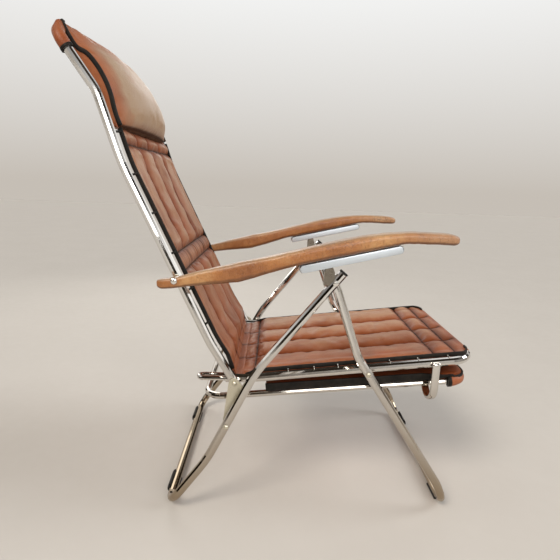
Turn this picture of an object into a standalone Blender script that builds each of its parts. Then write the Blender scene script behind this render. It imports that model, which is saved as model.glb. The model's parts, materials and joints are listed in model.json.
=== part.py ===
"""Folding reclining lounge chair with a pull-out footrest: chromed tube frame, leather pads.

Metres, +Z up. +X is the chair's front and +Y the sitter's left. The origin is on the floor,
under the middle of the chair's box. Side-view places are (x, z) pairs, measured from the point
midway between the two floor bars and moved by MIDDLE_X when a piece is made.
"""
import math

import bmesh
import bpy
from mathutils import Matrix, Vector

# ---- Driving dimensions -------------------------------------------------------------------
MIDDLE_X = 0.0923         # the floor bars' midpoint, ahead of the middle of the whole box
GAP = 0.0005              # clearance between pieces that touch
TUBE_SIDES = 4            # bevel resolution of a round tube: 12 sides

TUBE_R = 0.010            # legs, seat frame and back frame
FOOTREST_R = 0.008        # footrest frame
LOOP_R = 0.0055           # rod of the rear loops

REAR_LEG_Y = 0.2725       # half the distance between the rear legs' centre lines
FRONT_LEG_Y = 0.2520
BACK_RAIL_Y = 0.2435
SEAT_RAIL_Y = 0.2230
FOOTREST_Y = 0.2000
ARMREST_Y = 0.2725
LINK_Y = 0.2565           # middle of the link plates
LINK_T = 0.0020
PAD_HALF = 0.2122         # half the width of the seat and back pads
PAD_T = 0.018             # how far the pads stand proud of their rails' centre lines
FOLD_TAPER = 0.33         # how fast the pads thin towards the hinge between them

# Pivots in the side view
LEG_PIVOT = (0.035, 0.554)
SEAT_PIVOT = (0.122, 0.343)
BACK_PIVOT = (-0.178, 0.312)
LINK_PIVOT = (-0.193, 0.219)
ARMREST_PIVOT = (-0.3045, 0.5495)
ROLLER = (0.021, 0.5885)

FLOOR_BAR_Z = 0.0135      # centre of both floor bars
REAR_BAR_X = -0.326
FRONT_BAR_X = 0.328
CORNER_R = 0.045          # bend of a tube's centre line at a frame's corner

BOLT_R = 0.0030
HOLE_R = 0.0034
HEAD_R = 0.0068

# Side-view centre lines: (x, z, bend radius)
REAR_LEG = [(0.050, 0.573, 0), (-0.132, 0.345, 0.35), (-0.236, 0.134, 0.30)]
FRONT_LEG = [(0.031, 0.5665, 0), (0.0365, 0.5510, 0), (0.0435, 0.5310, 0), (0.097, 0.382, 0.12),
             (0.306, 0.068, 0.12)]
SEAT_RAIL = [(-0.200, 0.312, 0), (-0.150, 0.312, 0.15), (0.368, 0.373, CORNER_R)]
BACK_RAIL = [(-0.1705, 0.2995, 0), (-0.234, 0.402, 0.25), (-0.418, 0.786, 0.40),
             (-0.465, 0.928, 0.10), (-0.548, 1.048, CORNER_R)]
FOOTREST_RAIL = [(-0.249, 0.2520), (0.361, 0.3127)]

# Armrest stations: x, top, bottom, half width
ARMREST = [(-0.3430, 0.5490, 0.5350, 0.0085), (-0.3330, 0.5520, 0.5290, 0.0125),
           (-0.3045, 0.5565, 0.5320, 0.0140), (-0.2400, 0.5745, 0.5410, 0.0150),
           (-0.1720, 0.5915, 0.5495, 0.0170), (-0.1050, 0.6075, 0.5700, 0.0200),
           (-0.0600, 0.6195, 0.5856, 0.0218), (-0.0160, 0.6310, 0.5960, 0.0228),
           (0.0740, 0.6535, 0.6171, 0.0236), (0.1390, 0.6640, 0.6324, 0.0238),
           (0.1800, 0.6670, 0.6421, 0.0238), (0.2200, 0.6675, 0.6430, 0.0236),
           (0.2600, 0.6660, 0.6425, 0.0225), (0.2790, 0.6630, 0.6425, 0.0200),
           (0.2865, 0.6590, 0.6460, 0.0145)]

CHANNEL_START = (-0.045, 0.5887)
CHANNEL_SLOPE = 0.235
CHANNEL_LENGTH = 0.222
CHANNEL_DEPTH = 0.017
CHANNEL_HALF = 0.0120
SHEET_T = 0.0015

SIDES = (("right", -1), ("left", 1))

# ---- Scene --------------------------------------------------------------------------------
for old in list(bpy.data.objects):
    bpy.data.objects.remove(old, do_unlink=True)

CHAIR = bpy.data.collections.new("lounge_chair")
CUTTERS = bpy.data.collections.new("cutters")
bpy.context.scene.collection.children.link(CHAIR)
bpy.context.scene.collection.children.link(CUTTERS)


def material(name, color, roughness, metallic=0.0):
    mat = bpy.data.materials.new(name)
    mat.use_nodes = True
    shader = mat.node_tree.nodes["Principled BSDF"]
    shader.inputs["Base Color"].default_value = (*color, 1.0)
    shader.inputs["Roughness"].default_value = roughness
    shader.inputs["Metallic"].default_value = metallic
    return mat


CHROME = material("chrome", (0.78, 0.77, 0.75), 0.10, 1.0)
ZINC = material("zinc_plate", (0.68, 0.66, 0.56), 0.35, 1.0)
SATIN = material("satin_aluminium", (0.72, 0.76, 0.80), 0.30, 1.0)
LEATHER = material("cognac_leather", (0.36, 0.12, 0.06), 0.45)
TAN = material("tan_leatherette", (0.45, 0.24, 0.10), 0.50)
RUBBER = material("black_rubber", (0.02, 0.02, 0.02), 0.70)


# ---- Shape helpers ------------------------------------------------------------------------
def spot(place, y=0.0):
    """A side-view place as a point of the part's frame."""
    return Vector((place[0] + MIDDLE_X, y, place[1]))


def add(name, mesh, mat, location=(0, 0, 0), smooth=40):
    """Link a mesh as the piece of this name, with its origin at location."""
    mesh.materials.clear()
    mesh.materials.append(mat)
    piece = bpy.data.objects.new(name, mesh)
    piece.location = location
    CHAIR.objects.link(piece)
    if smooth:
        mesh.shade_smooth()
        mesh.set_sharp_from_angle(angle=math.radians(smooth))
    return piece


def bend(corners):
    """Points along a bent line: each corner is (point, bend radius), and a radius of 0 stays sharp."""
    points = [corners[0][0]]
    for (before, _), (corner, radius), (after, _) in zip(corners, corners[1:], corners[2:]):
        if not radius:
            points.append(corner)
            continue
        into = (corner - before).normalized()
        out = (after - corner).normalized()
        turn = into.angle(out)
        reach = radius * math.tan(turn / 2)
        centre = corner + (out - into).normalized() * (radius / math.cos(turn / 2))
        axis = into.cross(out).normalized()
        step = 15 if turn > math.radians(45) else 5
        count = max(2, math.ceil(math.degrees(turn) / step))
        arm = corner - into * reach - centre
        points += [centre + Matrix.Rotation(turn * i / count, 3, axis) @ arm
                   for i in range(count + 1)]
    points.append(corners[-1][0])
    return points


def tube_mesh(points, radius, closed=False):
    """A round tube along the points, as a closed mesh."""
    curve = bpy.data.curves.new("tube", "CURVE")
    curve.dimensions = "3D"
    curve.bevel_depth = radius
    curve.bevel_resolution = TUBE_SIDES
    curve.use_fill_caps = not closed
    spline = curve.splines.new("POLY")
    spline.points.add(len(points) - 1)
    for point, place in zip(spline.points, points):
        point.co = (*place, 1.0)
    spline.use_cyclic_u = closed
    return to_mesh(curve)


def to_mesh(curve):
    """A curve's evaluated mesh with its caps welded on."""
    holder = bpy.data.objects.new("curve", curve)
    CUTTERS.objects.link(holder)
    depsgraph = bpy.context.evaluated_depsgraph_get()
    mesh = bpy.data.meshes.new_from_object(holder.evaluated_get(depsgraph))
    bpy.data.objects.remove(holder)
    shape = bmesh.new()
    shape.from_mesh(mesh)
    bmesh.ops.remove_doubles(shape, verts=shape.verts, dist=1e-6)
    bmesh.ops.recalc_face_normals(shape, faces=shape.faces)
    shape.to_mesh(mesh)
    shape.free()
    return mesh


def u_frame(side_line, half_width, end=None):
    """Corners of a tube that runs up one side, across, and down the other side."""
    line = list(side_line) + ([end] if end else [])
    right = [(spot((x, z), -half_width), r) for x, z, r in line]
    left = [(spot((x, z), half_width), r) for x, z, r in reversed(line)]
    return bend(right + left)


def plate_mesh(outline, half_thickness):
    """A flat outline of (x, z) points, as thick as told either side of its own plane."""
    curve = bpy.data.curves.new("plate", "CURVE")
    curve.dimensions = "2D"
    curve.fill_mode = "BOTH"
    curve.extrude = half_thickness
    spline = curve.splines.new("POLY")
    spline.points.add(len(outline) - 1)
    for point, (x, z) in zip(spline.points, outline):
        point.co = (x, z, 0, 1)
    spline.use_cyclic_u = True
    mesh = to_mesh(curve)
    mesh.transform(Matrix.Rotation(math.radians(90), 4, "X"))
    return mesh


def arc(centre, radius, start, stop, count):
    """Points on an arc in the side view, in degrees counter-clockwise from +X."""
    angles = [math.radians(start + (stop - start) * i / count) for i in range(count + 1)]
    return [(centre[0] + radius * math.cos(a), centre[1] + radius * math.sin(a)) for a in angles]


def turned(name, profile, mat, place, side, y, steps=12):
    """A turned piece on an axis along Y: profile points are (radius, distance outboard of y)."""
    mesh = bpy.data.meshes.new(name)
    points = [(radius, 0, height) for radius, height in profile]
    mesh.from_pydata(points, [(i, i + 1) for i in range(len(points) - 1)], [])
    piece = add(name, mesh, mat, spot(place, side * y), smooth=0)
    piece.rotation_euler = (math.radians(-90 * side), 0, 0)
    screw = piece.modifiers.new("Screw", "SCREW")
    screw.steps = steps
    screw.render_steps = steps
    screw.use_merge_vertices = True
    screw.merge_threshold = 0.00005
    screw.use_smooth_shade = True
    smooth = piece.modifiers.new("Weld", "WELD")
    smooth.merge_threshold = 0.00005
    return piece


def rivet(name, place, side, inner_y, outer_y, mat, head_r=HEAD_R):
    """A round-headed pin: its shank from inner_y to outer_y, and its domed head outside that."""
    length = outer_y - inner_y
    rise = head_r * 0.55
    dome = [(head_r * math.cos(math.radians(a)), length + GAP + rise * math.sin(math.radians(a)))
            for a in (90, 60, 30, 0)]
    dome[0] = (0.0, dome[0][1])
    profile = dome + [(BOLT_R, length + GAP), (BOLT_R, 0.0), (0.0, 0.0)]
    return turned(name, profile, mat, place, side, inner_y)


def washer(name, place, side, inner_y, outer_y, outer_r, mat):
    height = outer_y - inner_y
    profile = [(HOLE_R, height), (outer_r, height), (outer_r, 0.0), (HOLE_R, 0.0), (HOLE_R, height)]
    return turned(name, profile, mat, place, side, inner_y)


def cutter(name, mesh, location=(0, 0, 0)):
    tool = bpy.data.objects.new(name, mesh)
    tool.location = location
    tool.hide_render = True
    tool.display_type = "WIRE"
    CUTTERS.objects.link(tool)
    return tool


def drill(piece, place, y_low, y_high, radius=HOLE_R, sides=12):
    """A round hole along Y through the piece."""
    shape = bmesh.new()
    bmesh.ops.create_cone(shape, cap_ends=True, segments=sides, radius1=radius, radius2=radius,
                          depth=abs(y_high - y_low), matrix=Matrix.Rotation(math.pi / 2, 4, "X"))
    mesh = bpy.data.meshes.new("hole")
    shape.to_mesh(mesh)
    shape.free()
    cut(piece, cutter("hole", mesh, spot(place, (y_low + y_high) / 2)))


def cut(piece, tool):
    modifier = piece.modifiers.new("Cut", "BOOLEAN")
    modifier.operation = "DIFFERENCE"
    modifier.object = tool


def box_mesh(size):
    shape = bmesh.new()
    bmesh.ops.create_cube(shape, size=1.0, matrix=Matrix.Diagonal((*size, 1)))
    mesh = bpy.data.meshes.new("box")
    shape.to_mesh(mesh)
    shape.free()
    return mesh


def loft_mesh(rings):
    """A closed skin through rings of equal count, capped at both ends."""
    shape = bmesh.new()
    loops = [[shape.verts.new(point) for point in ring] for ring in rings]
    for low, high in zip(loops, loops[1:]):
        for i in range(len(low)):
            j = (i + 1) % len(low)
            shape.faces.new((low[i], low[j], high[j], high[i]))
    shape.faces.new(loops[0])
    shape.faces.new(loops[-1])
    bmesh.ops.recalc_face_normals(shape, faces=shape.faces)
    mesh = bpy.data.meshes.new("loft")
    shape.to_mesh(mesh)
    shape.free()
    return mesh


def band(line, below, above):
    """The outline of a strip along a side-view line, as far below and above it as told.

    Each distance is one number, or a list with one for each point of the line.
    """
    below, above = ([d] * len(line) if isinstance(d, float) else d for d in (below, above))
    low, high = [], []
    for i, point in enumerate(line):
        before = line[max(i - 1, 0)]
        after = line[min(i + 1, len(line) - 1)]
        along = Vector((after[0] - before[0], after[1] - before[1])).normalized()
        across = Vector((-along.y, along.x))
        here = Vector(point)
        low.append(tuple(here - across * below[i]))
        high.append(tuple(here + across * above[i]))
    return low + high[::-1]


def pad_mesh(line, below, above, half_widths):
    """A slab along a side-view line whose half width is told for each point of the line."""
    outline = band(line, below, above)
    count = len(line)
    rings = []
    for i, half in enumerate(half_widths):
        low, high = outline[i], outline[2 * count - 1 - i]
        rings.append([spot(low, -half), spot(low, half), spot(high, half), spot(high, -half)])
    return loft_mesh(rings)


def tapered(line, hinge, full):
    """How thick a pad is at each point of a line: it thins towards the hinge so it can fold."""
    return [min(full, 0.0005 + FOLD_TAPER * math.dist(point, hinge)) for point in line]


def rounded_end(line, half, corner_y, radius):
    """The line and its half widths, drawn in round a frame's corner at the line's far end."""
    (x0, z0), (x1, z1) = line[-2:]
    along = Vector((x1 - x0, z1 - z0)).normalized()
    start = Vector((x1, z1)) - along * radius
    points = list(line[:-1])
    halves = [half] * len(points)
    for degrees in (0, 22.5, 45, 60, 72, 82, 90):
        a = math.radians(degrees)
        points.append(tuple(start + along * radius * math.sin(a)))
        halves.append(min(half, corner_y + radius * math.cos(a) - GAP))
    return points, halves


def side_line(corners):
    """The bent side-view line of (x, z, radius) corners as (x, z) points."""
    points = bend([(Vector((x, 0.0, z)), r) for x, z, r in corners])
    return [(p.x, p.z) for p in points]


def between(line, start, stop):
    """The part of a line from start to stop, both measured along it."""
    kept, travelled = [], 0.0
    for (x0, z0), (x1, z1) in zip(line, line[1:]):
        run = math.hypot(x1 - x0, z1 - z0)
        low = max(start - travelled, 0.0)
        high = min(stop - travelled, run)
        if low < high:
            for t in (low / run, high / run):
                point = (x0 + (x1 - x0) * t, z0 + (z1 - z0) * t)
                if not kept or math.dist(kept[-1], point) > 1e-6:
                    kept.append(point)
        travelled += run
    return kept


# ---- Legs ---------------------------------------------------------------------------------
def flatten_top(mesh, y_centre, y_flat, top_z, thickness, reach, side):
    """Squash one leg's top end to a flat tongue that lies at y_flat."""
    for vertex in mesh.vertices:
        if vertex.co.y * side <= 0:
            continue
        depth = top_z - vertex.co.z
        if depth > reach:
            continue
        amount = min(1.0, (reach - depth) / (reach * 0.45))
        offset = vertex.co.y * side - y_centre
        flat = y_flat + offset * thickness / (2 * TUBE_R)
        vertex.co.y = side * ((1 - amount) * (y_centre + offset) + amount * flat)


def make_front_legs():
    mesh = tube_mesh(u_frame(FRONT_LEG, FRONT_LEG_Y, (FRONT_BAR_X, FLOOR_BAR_Z, CORNER_R)), TUBE_R)
    top_z = FRONT_LEG[0][1]
    for side in (-1, 1):
        flatten_top(mesh, FRONT_LEG_Y, 0.2585, top_z, 0.006, 0.038, side)
    legs = add("front_leg_frame", mesh, CHROME)
    for _, side in SIDES:
        drill(legs, LEG_PIVOT, side * 0.235, side * 0.270)
        drill(legs, SEAT_PIVOT, side * 0.235, side * 0.270)


def make_rear_legs():
    mesh = tube_mesh(u_frame(REAR_LEG, REAR_LEG_Y, (REAR_BAR_X, FLOOR_BAR_Z, CORNER_R)), TUBE_R)
    legs = add("rear_leg_frame", mesh, CHROME)
    for _, side in SIDES:
        drill(legs, LEG_PIVOT, side * 0.255, side * 0.290)
        drill(legs, LINK_PIVOT, side * 0.255, side * 0.290)


def make_leg_caps():
    """A black plug on the open top end of each rear leg."""
    (x0, z0, _), (x1, z1, _) = REAR_LEG[:2]
    along = Vector((x0 - x1, 0, z0 - z1)).normalized()
    for word, side in SIDES:
        start = spot((x0, z0), side * REAR_LEG_Y) + along * GAP
        mesh = tube_mesh([start, start + along * 0.0030, start + along * 0.0045], TUBE_R * 1.03)
        add(f"leg_cap_{word}", mesh, RUBBER)


def make_foot_pads():
    """Rubber saddles under the floor bars, each with one flat sole on the floor."""
    inner, outer = TUBE_R + GAP, TUBE_R + 0.0055
    half = math.sqrt(outer ** 2 - FLOOR_BAR_Z ** 2)
    edge = math.degrees(math.asin(half / outer))
    for where, bar_x, start, stop in (("rear", REAR_BAR_X, 120, 310), ("front", FRONT_BAR_X, 230, 420)):
        outline = arc((0, 0), outer, start, 270 - edge, 6) + arc((0, 0), outer, 270 + edge, stop, 6)
        outline += arc((0, 0), inner, stop, start, 12)
        for word, side in SIDES:
            mesh = plate_mesh(outline, 0.030)
            add(f"foot_pad_{where}_{word}", mesh, RUBBER,
                spot((bar_x, FLOOR_BAR_Z), side * 0.180), smooth=30)


def make_roller_brackets():
    """The forked bracket on each rear leg's top end, and the roller that carries the armrest."""
    (x0, z0, _), (x1, z1, _) = REAR_LEG[:2]
    lean = math.atan2(x0 - x1, z0 - z1)
    for word, side in SIDES:
        head = arc((0, 0), 0.0060, 180, 0, 8)
        outline = head + [(0.0110, -0.012), (0.0110, -0.040), (-0.0110, -0.040), (-0.0110, -0.012)]
        bracket = add(f"roller_bracket_{word}", plate_mesh(outline, 0.0075), ZINC,
                      spot(ROLLER, side * ARMREST_Y), smooth=30)
        leg = tube_mesh([spot((x0, z0), side * REAR_LEG_Y), spot((x1, z1), side * REAR_LEG_Y)],
                        TUBE_R + GAP)
        cut(bracket, cutter("saddle", leg))
        below = box_mesh((0.2, 0.1, 0.1))
        below.transform(Matrix.Rotation(-(math.pi / 2 - lean), 4, "Y"))
        drop = Vector((math.cos(lean), 0, -math.sin(lean))) * 0.049
        tool = cutter("underside", below, spot((x0 - 0.04 * math.sin(lean), z0 - 0.04 * math.cos(lean)),
                                               side * REAR_LEG_Y) + drop)
        cut(bracket, tool)
        slot = cutter("slot", box_mesh((0.03, 0.0110, 0.030)),
                      spot((ROLLER[0], ROLLER[1] + 0.004), side * ARMREST_Y))
        cut(bracket, slot)
        drill(bracket, ROLLER, side * 0.26, side * 0.285, 0.0024)
        r, half = 0.0045, 0.0052
        profile = [(0.0, 0.0075), (0.0020, 0.0075), (0.0020, half), (r, half), (r, -half),
                   (0.0020, -half), (0.0020, -0.0075), (0.0, -0.0075)]
        turned(f"armrest_roller_{word}", profile, ZINC, ROLLER, side, ARMREST_Y)


def make_leg_pivots():
    for word, side in SIDES:
        rivet(f"leg_pivot_{word}", LEG_PIVOT, side, 0.2530, REAR_LEG_Y + TUBE_R, CHROME)
        rivet(f"link_rivet_{word}", LINK_PIVOT, side, 0.2600, REAR_LEG_Y + TUBE_R, ZINC, 0.0062)
        rivet(f"seat_pivot_{word}", SEAT_PIVOT, side, 0.2145, FRONT_LEG_Y + TUBE_R, ZINC, 0.0062)


# ---- Seat ---------------------------------------------------------------------------------
def make_seat_frame():
    frame = add("seat_frame", tube_mesh(u_frame(SEAT_RAIL, SEAT_RAIL_Y), TUBE_R), CHROME)
    for _, side in SIDES:
        drill(frame, SEAT_PIVOT, side * 0.205, side * 0.240)
        drill(frame, BACK_PIVOT, side * 0.205, side * 0.240)


def make_rear_loops():
    """A rod loop that runs back from each seat rail's rear end and returns beside the rail."""
    z = SEAT_RAIL[0][1]
    start, back, end = SEAT_RAIL[0][0] - GAP, -0.262, -0.186
    outer_y, inner_y = SEAT_RAIL_Y + 0.0040, SEAT_RAIL_Y - 0.0170
    turn = (outer_y - inner_y) / 2
    for word, side in SIDES:
        corners = [(spot((start, z), side * outer_y), 0),
                   (spot((back, z), side * outer_y), turn * 0.98),
                   (spot((back, z), side * inner_y), turn * 0.98),
                   (spot((end, z), side * inner_y), 0)]
        add(f"rear_loop_{word}", tube_mesh(bend(corners), LOOP_R), CHROME)


def make_stirrups():
    """A flat-strip hoop under each seat rail that the footrest's rail slides through."""
    x, rail_z = 0.281, 0.3627
    outer_y = SEAT_RAIL_Y + TUBE_R + GAP
    half_x, thick, radius = 0.0095, 0.0045, 0.030
    for word, side in SIDES:
        centre_y, low_z, top_z = outer_y + thick - radius - thick, 0.3055, rail_z + 0.004
        path = [(outer_y + thick / 2, top_z)]
        path += [(centre_y + (radius + thick / 2) * math.cos(math.radians(a)),
                  low_z + (radius + thick / 2) * math.sin(math.radians(a)))
                 for a in range(0, -181, -15)]
        rings = []
        for i, (y, z) in enumerate(path):
            before, after = path[max(i - 1, 0)], path[min(i + 1, len(path) - 1)]
            run = Vector((after[0] - before[0], after[1] - before[1])).normalized()
            out = Vector((run.y, -run.x)) * (-thick / 2)
            rings.append([spot((x + dx, z + sign * out.y), side * (y + sign * out.x))
                          for dx, sign in ((-half_x, 1), (half_x, 1), (half_x, -1), (-half_x, -1))])
        add(f"footrest_stirrup_{word}", loft_mesh(rings), CHROME)


def make_link_plates():
    """The plate from the seat's rear pivot down to each rear leg, with a lip bent on its front edge."""
    bx, bz = BACK_PIVOT
    lx, lz = LINK_PIVOT
    outline = arc((bx, bz), 0.0125, 170, 20, 8)
    outline += [(bx + 0.0205, bz - 0.006), (bx + 0.0200, bz - 0.018), (bx + 0.0130, bz - 0.0265)]
    outline += arc((lx, lz), 0.0095, -20, -180, 8)
    for word, side in SIDES:
        mesh = plate_mesh([(x - bx, z - bz) for x, z in outline], LINK_T / 2)
        shape = bmesh.new()
        shape.from_mesh(mesh)
        crease = Vector((0.0105, 0, 0))
        everything = list(shape.verts) + list(shape.edges) + list(shape.faces)
        bmesh.ops.bisect_plane(shape, geom=everything, plane_co=crease, plane_no=(1, 0, 0.2))
        for vertex in shape.verts:
            past = (vertex.co - crease).dot(Vector((1, 0, 0.2)))
            if past > 0:
                vertex.co.y += side * past * 0.24
        shape.to_mesh(mesh)
        shape.free()
        plate = add(f"link_plate_{word}", mesh, ZINC, spot(BACK_PIVOT, side * LINK_Y), smooth=20)
        drill(plate, BACK_PIVOT, side * 0.250, side * 0.262)


def make_back_bolts():
    for word, side in SIDES:
        rivet(f"back_bolt_{word}", BACK_PIVOT, side, 0.2145, LINK_Y + LINK_T / 2, ZINC, 0.0060)


def make_seat_pad():
    rail = side_line([SEAT_RAIL[0], SEAT_RAIL[1], (*SEAT_RAIL[2][:2], 0)])
    length = sum(math.dist(a, b) for a, b in zip(rail, rail[1:]))
    line = between(rail, 0.034, 0.050) + between(rail, 0.075, length - TUBE_R - GAP)
    line, halves = rounded_end(line, PAD_HALF, SEAT_RAIL_Y - CORNER_R, CORNER_R - TUBE_R)
    above = tapered(line, BACK_PIVOT, PAD_T)
    add("seat_pad", pad_mesh(line, 0.006, above, halves), LEATHER, smooth=30)


# ---- Footrest -----------------------------------------------------------------------------
def make_footrest():
    (x0, z0), (x1, z1) = FOOTREST_RAIL
    corners = [(spot((x, z), y), CORNER_R) for x, z, y in (
        (x0, z0, -FOOTREST_Y), (x1, z1, -FOOTREST_Y), (x1, z1, FOOTREST_Y), (x0, z0, FOOTREST_Y))]
    looped = [corners[-1]] + corners + corners[:1]
    add("footrest_frame", tube_mesh(bend(looped)[1:-1], FOOTREST_R, closed=True), CHROME)

    slope = (z1 - z0) / (x1 - x0)
    line = [(x, z0 + slope * (x - x0)) for x in (-0.108, 0.374)]
    outline = band(line, -(FOOTREST_R + GAP), 0.026)
    add("footrest_pad", plate_mesh(outline, 0.2060), LEATHER, spot((0, 0)), smooth=30)

    wrap = arc((x1, z1), 0.0135, 40, -105, 10)
    wrap += [(x1 - 0.0310, z1 - 0.0197), (x1 - 0.0310, z1 - 0.0157)]
    wrap += arc((x1, z1), FOOTREST_R + 3 * GAP, -105, 40, 10)
    add("footrest_front_wrap", plate_mesh(wrap, 0.1900), LEATHER, spot((0, 0)), smooth=30)


# ---- Back ---------------------------------------------------------------------------------
def make_back_frame():
    frame = add("back_frame", tube_mesh(u_frame(BACK_RAIL, BACK_RAIL_Y), TUBE_R), CHROME)
    for _, side in SIDES:
        drill(frame, BACK_PIVOT, side * 0.225, side * 0.260)
        drill(frame, ARMREST_PIVOT, side * 0.225, side * 0.260)


def make_back_pads():
    rail = side_line([(x, z, r if i < 4 else 0) for i, (x, z, r) in enumerate(BACK_RAIL)])
    crease = 0.622                      # where the head pillow starts, measured up the rail
    line = between(rail, 0.028, 0.044) + between(rail, 0.070, crease)
    front = tapered(line, BACK_PIVOT, PAD_T)
    rear = [0.001] + [0.006] * (len(line) - 1)
    add("back_pad", plate_mesh(band(line, front, rear), PAD_HALF), LEATHER, spot((0, 0)), smooth=30)

    behind = band(between(rail, crease + 0.003, 0.790), 0.0, 0.006)
    behind = behind[len(behind) // 2:]
    face = [(-0.4235, 0.8690), (-0.402, 0.884), (-0.402, 0.915), (-0.420, 0.962), (-0.449, 1.003),
            (-0.487, 1.036), (-0.512, 1.050), (-0.5280, 1.053)]
    add("head_pillow", plate_mesh(face + behind, 0.2080), LEATHER, spot((0, 0)), smooth=30)

    top = BACK_RAIL[-1][:2]
    ridge = [(top[0] + 0.0060, top[1] + 0.0115), (top[0] + 0.0005, top[1] + 0.0230)]
    wrap = ridge + arc(top, 0.0145, 118, 222, 8)
    wrap += [(top[0] + 0.010, top[1] - 0.0330), (top[0] + 0.013, top[1] - 0.0310)]
    wrap += arc(top, TUBE_R + GAP, 222, 62, 12)
    add("top_bar_wrap", plate_mesh(wrap, 0.1960), LEATHER, spot((0, 0)), smooth=30)


# ---- Armrests -----------------------------------------------------------------------------
def make_armrests():
    for word, side in SIDES:
        rings = []
        for x, top, bottom, half in ARMREST:
            mid, rise = (top + bottom) / 2, (top - bottom) / 2
            ring = []
            for k in range(16):
                a = math.radians(22.5 * k + 11.25)
                c, s = math.cos(a), math.sin(a)
                y = math.copysign(abs(c) ** 0.55, c) * half
                z = math.copysign(abs(s) ** 0.55, s) * rise
                ring.append(spot((x, mid + z / (abs(math.sin(math.radians(78.75))) ** 0.55)),
                                 side * ARMREST_Y + y))
            rings.append(ring)
        armrest = add(f"armrest_{word}", loft_mesh(rings), TAN)
        drill(armrest, ARMREST_PIVOT, side * 0.245, side * 0.300)

        rivet(f"armrest_rivet_{word}", ARMREST_PIVOT, side, 0.2400, 0.2866, CHROME, 0.0075)
        washer(f"armrest_washer_{word}", ARMREST_PIVOT, side, BACK_RAIL_Y + TUBE_R + 0.0008,
               0.2580, 0.0085, ZINC)
        make_channel(word, side)


def make_channel(word, side):
    """The folded channel under an armrest, open below, and the notched strip inside it."""
    lean = math.atan(CHANNEL_SLOPE)
    length, depth = CHANNEL_LENGTH, CHANNEL_DEPTH

    def placed(mesh):
        mesh.transform(Matrix.Rotation(-lean, 4, "Y"))
        return mesh

    def outline(inset, bottom):
        r, low = 0.0085 - inset, 0.0070 - inset
        left = arc((0.0085, -0.0085), r, 180, 90, 4)
        right = arc((length - 0.0085, -0.0085), r, 90, 0, 4)
        front_foot = arc((length - 0.0070, 0.0070 - bottom), low, 0, -90, 4)
        rear_foot = arc((0.0070, 0.0070 - bottom), low, -90, -180, 4)
        return left + right + front_foot + rear_foot

    channel = add(f"armrest_channel_{word}", placed(plate_mesh(outline(0.0, depth), CHANNEL_HALF)),
                  SATIN, spot(CHANNEL_START, side * ARMREST_Y), smooth=30)
    hollow = placed(plate_mesh(outline(SHEET_T, depth + 0.01), CHANNEL_HALF - SHEET_T))
    cut(channel, cutter("hollow", hollow, spot(CHANNEL_START, side * ARMREST_Y)))

    pitch, tooth, base = 0.016, 0.0012, 0.0010
    teeth = []
    top = -(SHEET_T + GAP)
    start, stop = 0.014, length - 0.014
    count = int((stop - start) / pitch)
    for i in range(count):
        x = start + i * pitch
        teeth += [(x, top - base), (x + pitch * 0.30, top - base - tooth),
                  (x + pitch * 0.42, top - base - tooth), (x + pitch * 0.50, top - base)]
    strip = teeth + [(start + count * pitch, top - base), (start + count * pitch, top), (start, top)]
    add(f"notched_strip_{word}", placed(plate_mesh(strip, 0.0060)), SATIN,
        spot(CHANNEL_START, side * ARMREST_Y), smooth=0)


make_front_legs()
make_rear_legs()
make_leg_caps()
make_foot_pads()
make_roller_brackets()
make_leg_pivots()
make_seat_frame()
make_rear_loops()
make_stirrups()
make_link_plates()
make_back_bolts()
make_seat_pad()
make_footrest()
make_back_frame()
make_back_pads()
make_armrests()
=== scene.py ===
"""Looks of the folding lounge chair: quilted leather, chrome, armrests, light and camera.

Metres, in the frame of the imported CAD. Side-view places are (x, z) pairs measured from the point
midway between the two floor bars, and MIDDLE moves them into the frame.
"""

import json
import math

import bmesh
import bpy
import numpy as np
from mathutils import Matrix, Vector, noise


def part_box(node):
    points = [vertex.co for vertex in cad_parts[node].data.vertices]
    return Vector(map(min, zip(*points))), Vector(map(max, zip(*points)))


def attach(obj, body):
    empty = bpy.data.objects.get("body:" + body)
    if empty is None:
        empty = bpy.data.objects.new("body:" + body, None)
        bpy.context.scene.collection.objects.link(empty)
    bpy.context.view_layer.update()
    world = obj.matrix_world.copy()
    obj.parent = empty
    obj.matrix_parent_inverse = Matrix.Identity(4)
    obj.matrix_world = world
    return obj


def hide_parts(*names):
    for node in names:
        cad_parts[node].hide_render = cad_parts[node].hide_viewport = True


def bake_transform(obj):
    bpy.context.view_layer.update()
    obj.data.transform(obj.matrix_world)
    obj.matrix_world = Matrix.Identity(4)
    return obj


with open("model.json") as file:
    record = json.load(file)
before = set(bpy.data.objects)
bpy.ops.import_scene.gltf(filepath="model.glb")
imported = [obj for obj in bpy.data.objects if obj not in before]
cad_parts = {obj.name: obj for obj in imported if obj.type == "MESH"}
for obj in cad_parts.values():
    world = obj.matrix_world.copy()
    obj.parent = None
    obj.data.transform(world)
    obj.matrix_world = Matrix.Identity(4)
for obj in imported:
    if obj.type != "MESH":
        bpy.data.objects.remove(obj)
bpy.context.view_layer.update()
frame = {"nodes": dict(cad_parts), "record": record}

# ---- Driving dimensions, the same as the CAD's --------------------------------------------
FRONT_BAR_FACE = 0.338                  # how far the front floor bar's face is ahead of the midpoint
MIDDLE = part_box("front_leg_frame")[1][0] - FRONT_BAR_FACE

TUBE_R = 0.010
FOOTREST_R = 0.008
CORNER_R = 0.045
SEAT_RAIL_Y = 0.2230
BACK_RAIL_Y = 0.2435
FOOTREST_Y = 0.2000
ARMREST_Y = 0.2725
PAD_HALF = 0.2122
PAD_T = 0.018
FOLD_TAPER = 0.33
HINGE = (-0.178, 0.312)
SEAT_SLOPE = 0.118                      # how steeply the seat rail climbs to the front
SEAT_SEAMS = (-0.104, 0.0, 0.104)       # the seat's lengthwise seams, measured across
HINGE_COVER_HALF = 0.2095
RIB_LINES = 21                          # stitched lines across the lumbar band, both edges included

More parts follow.
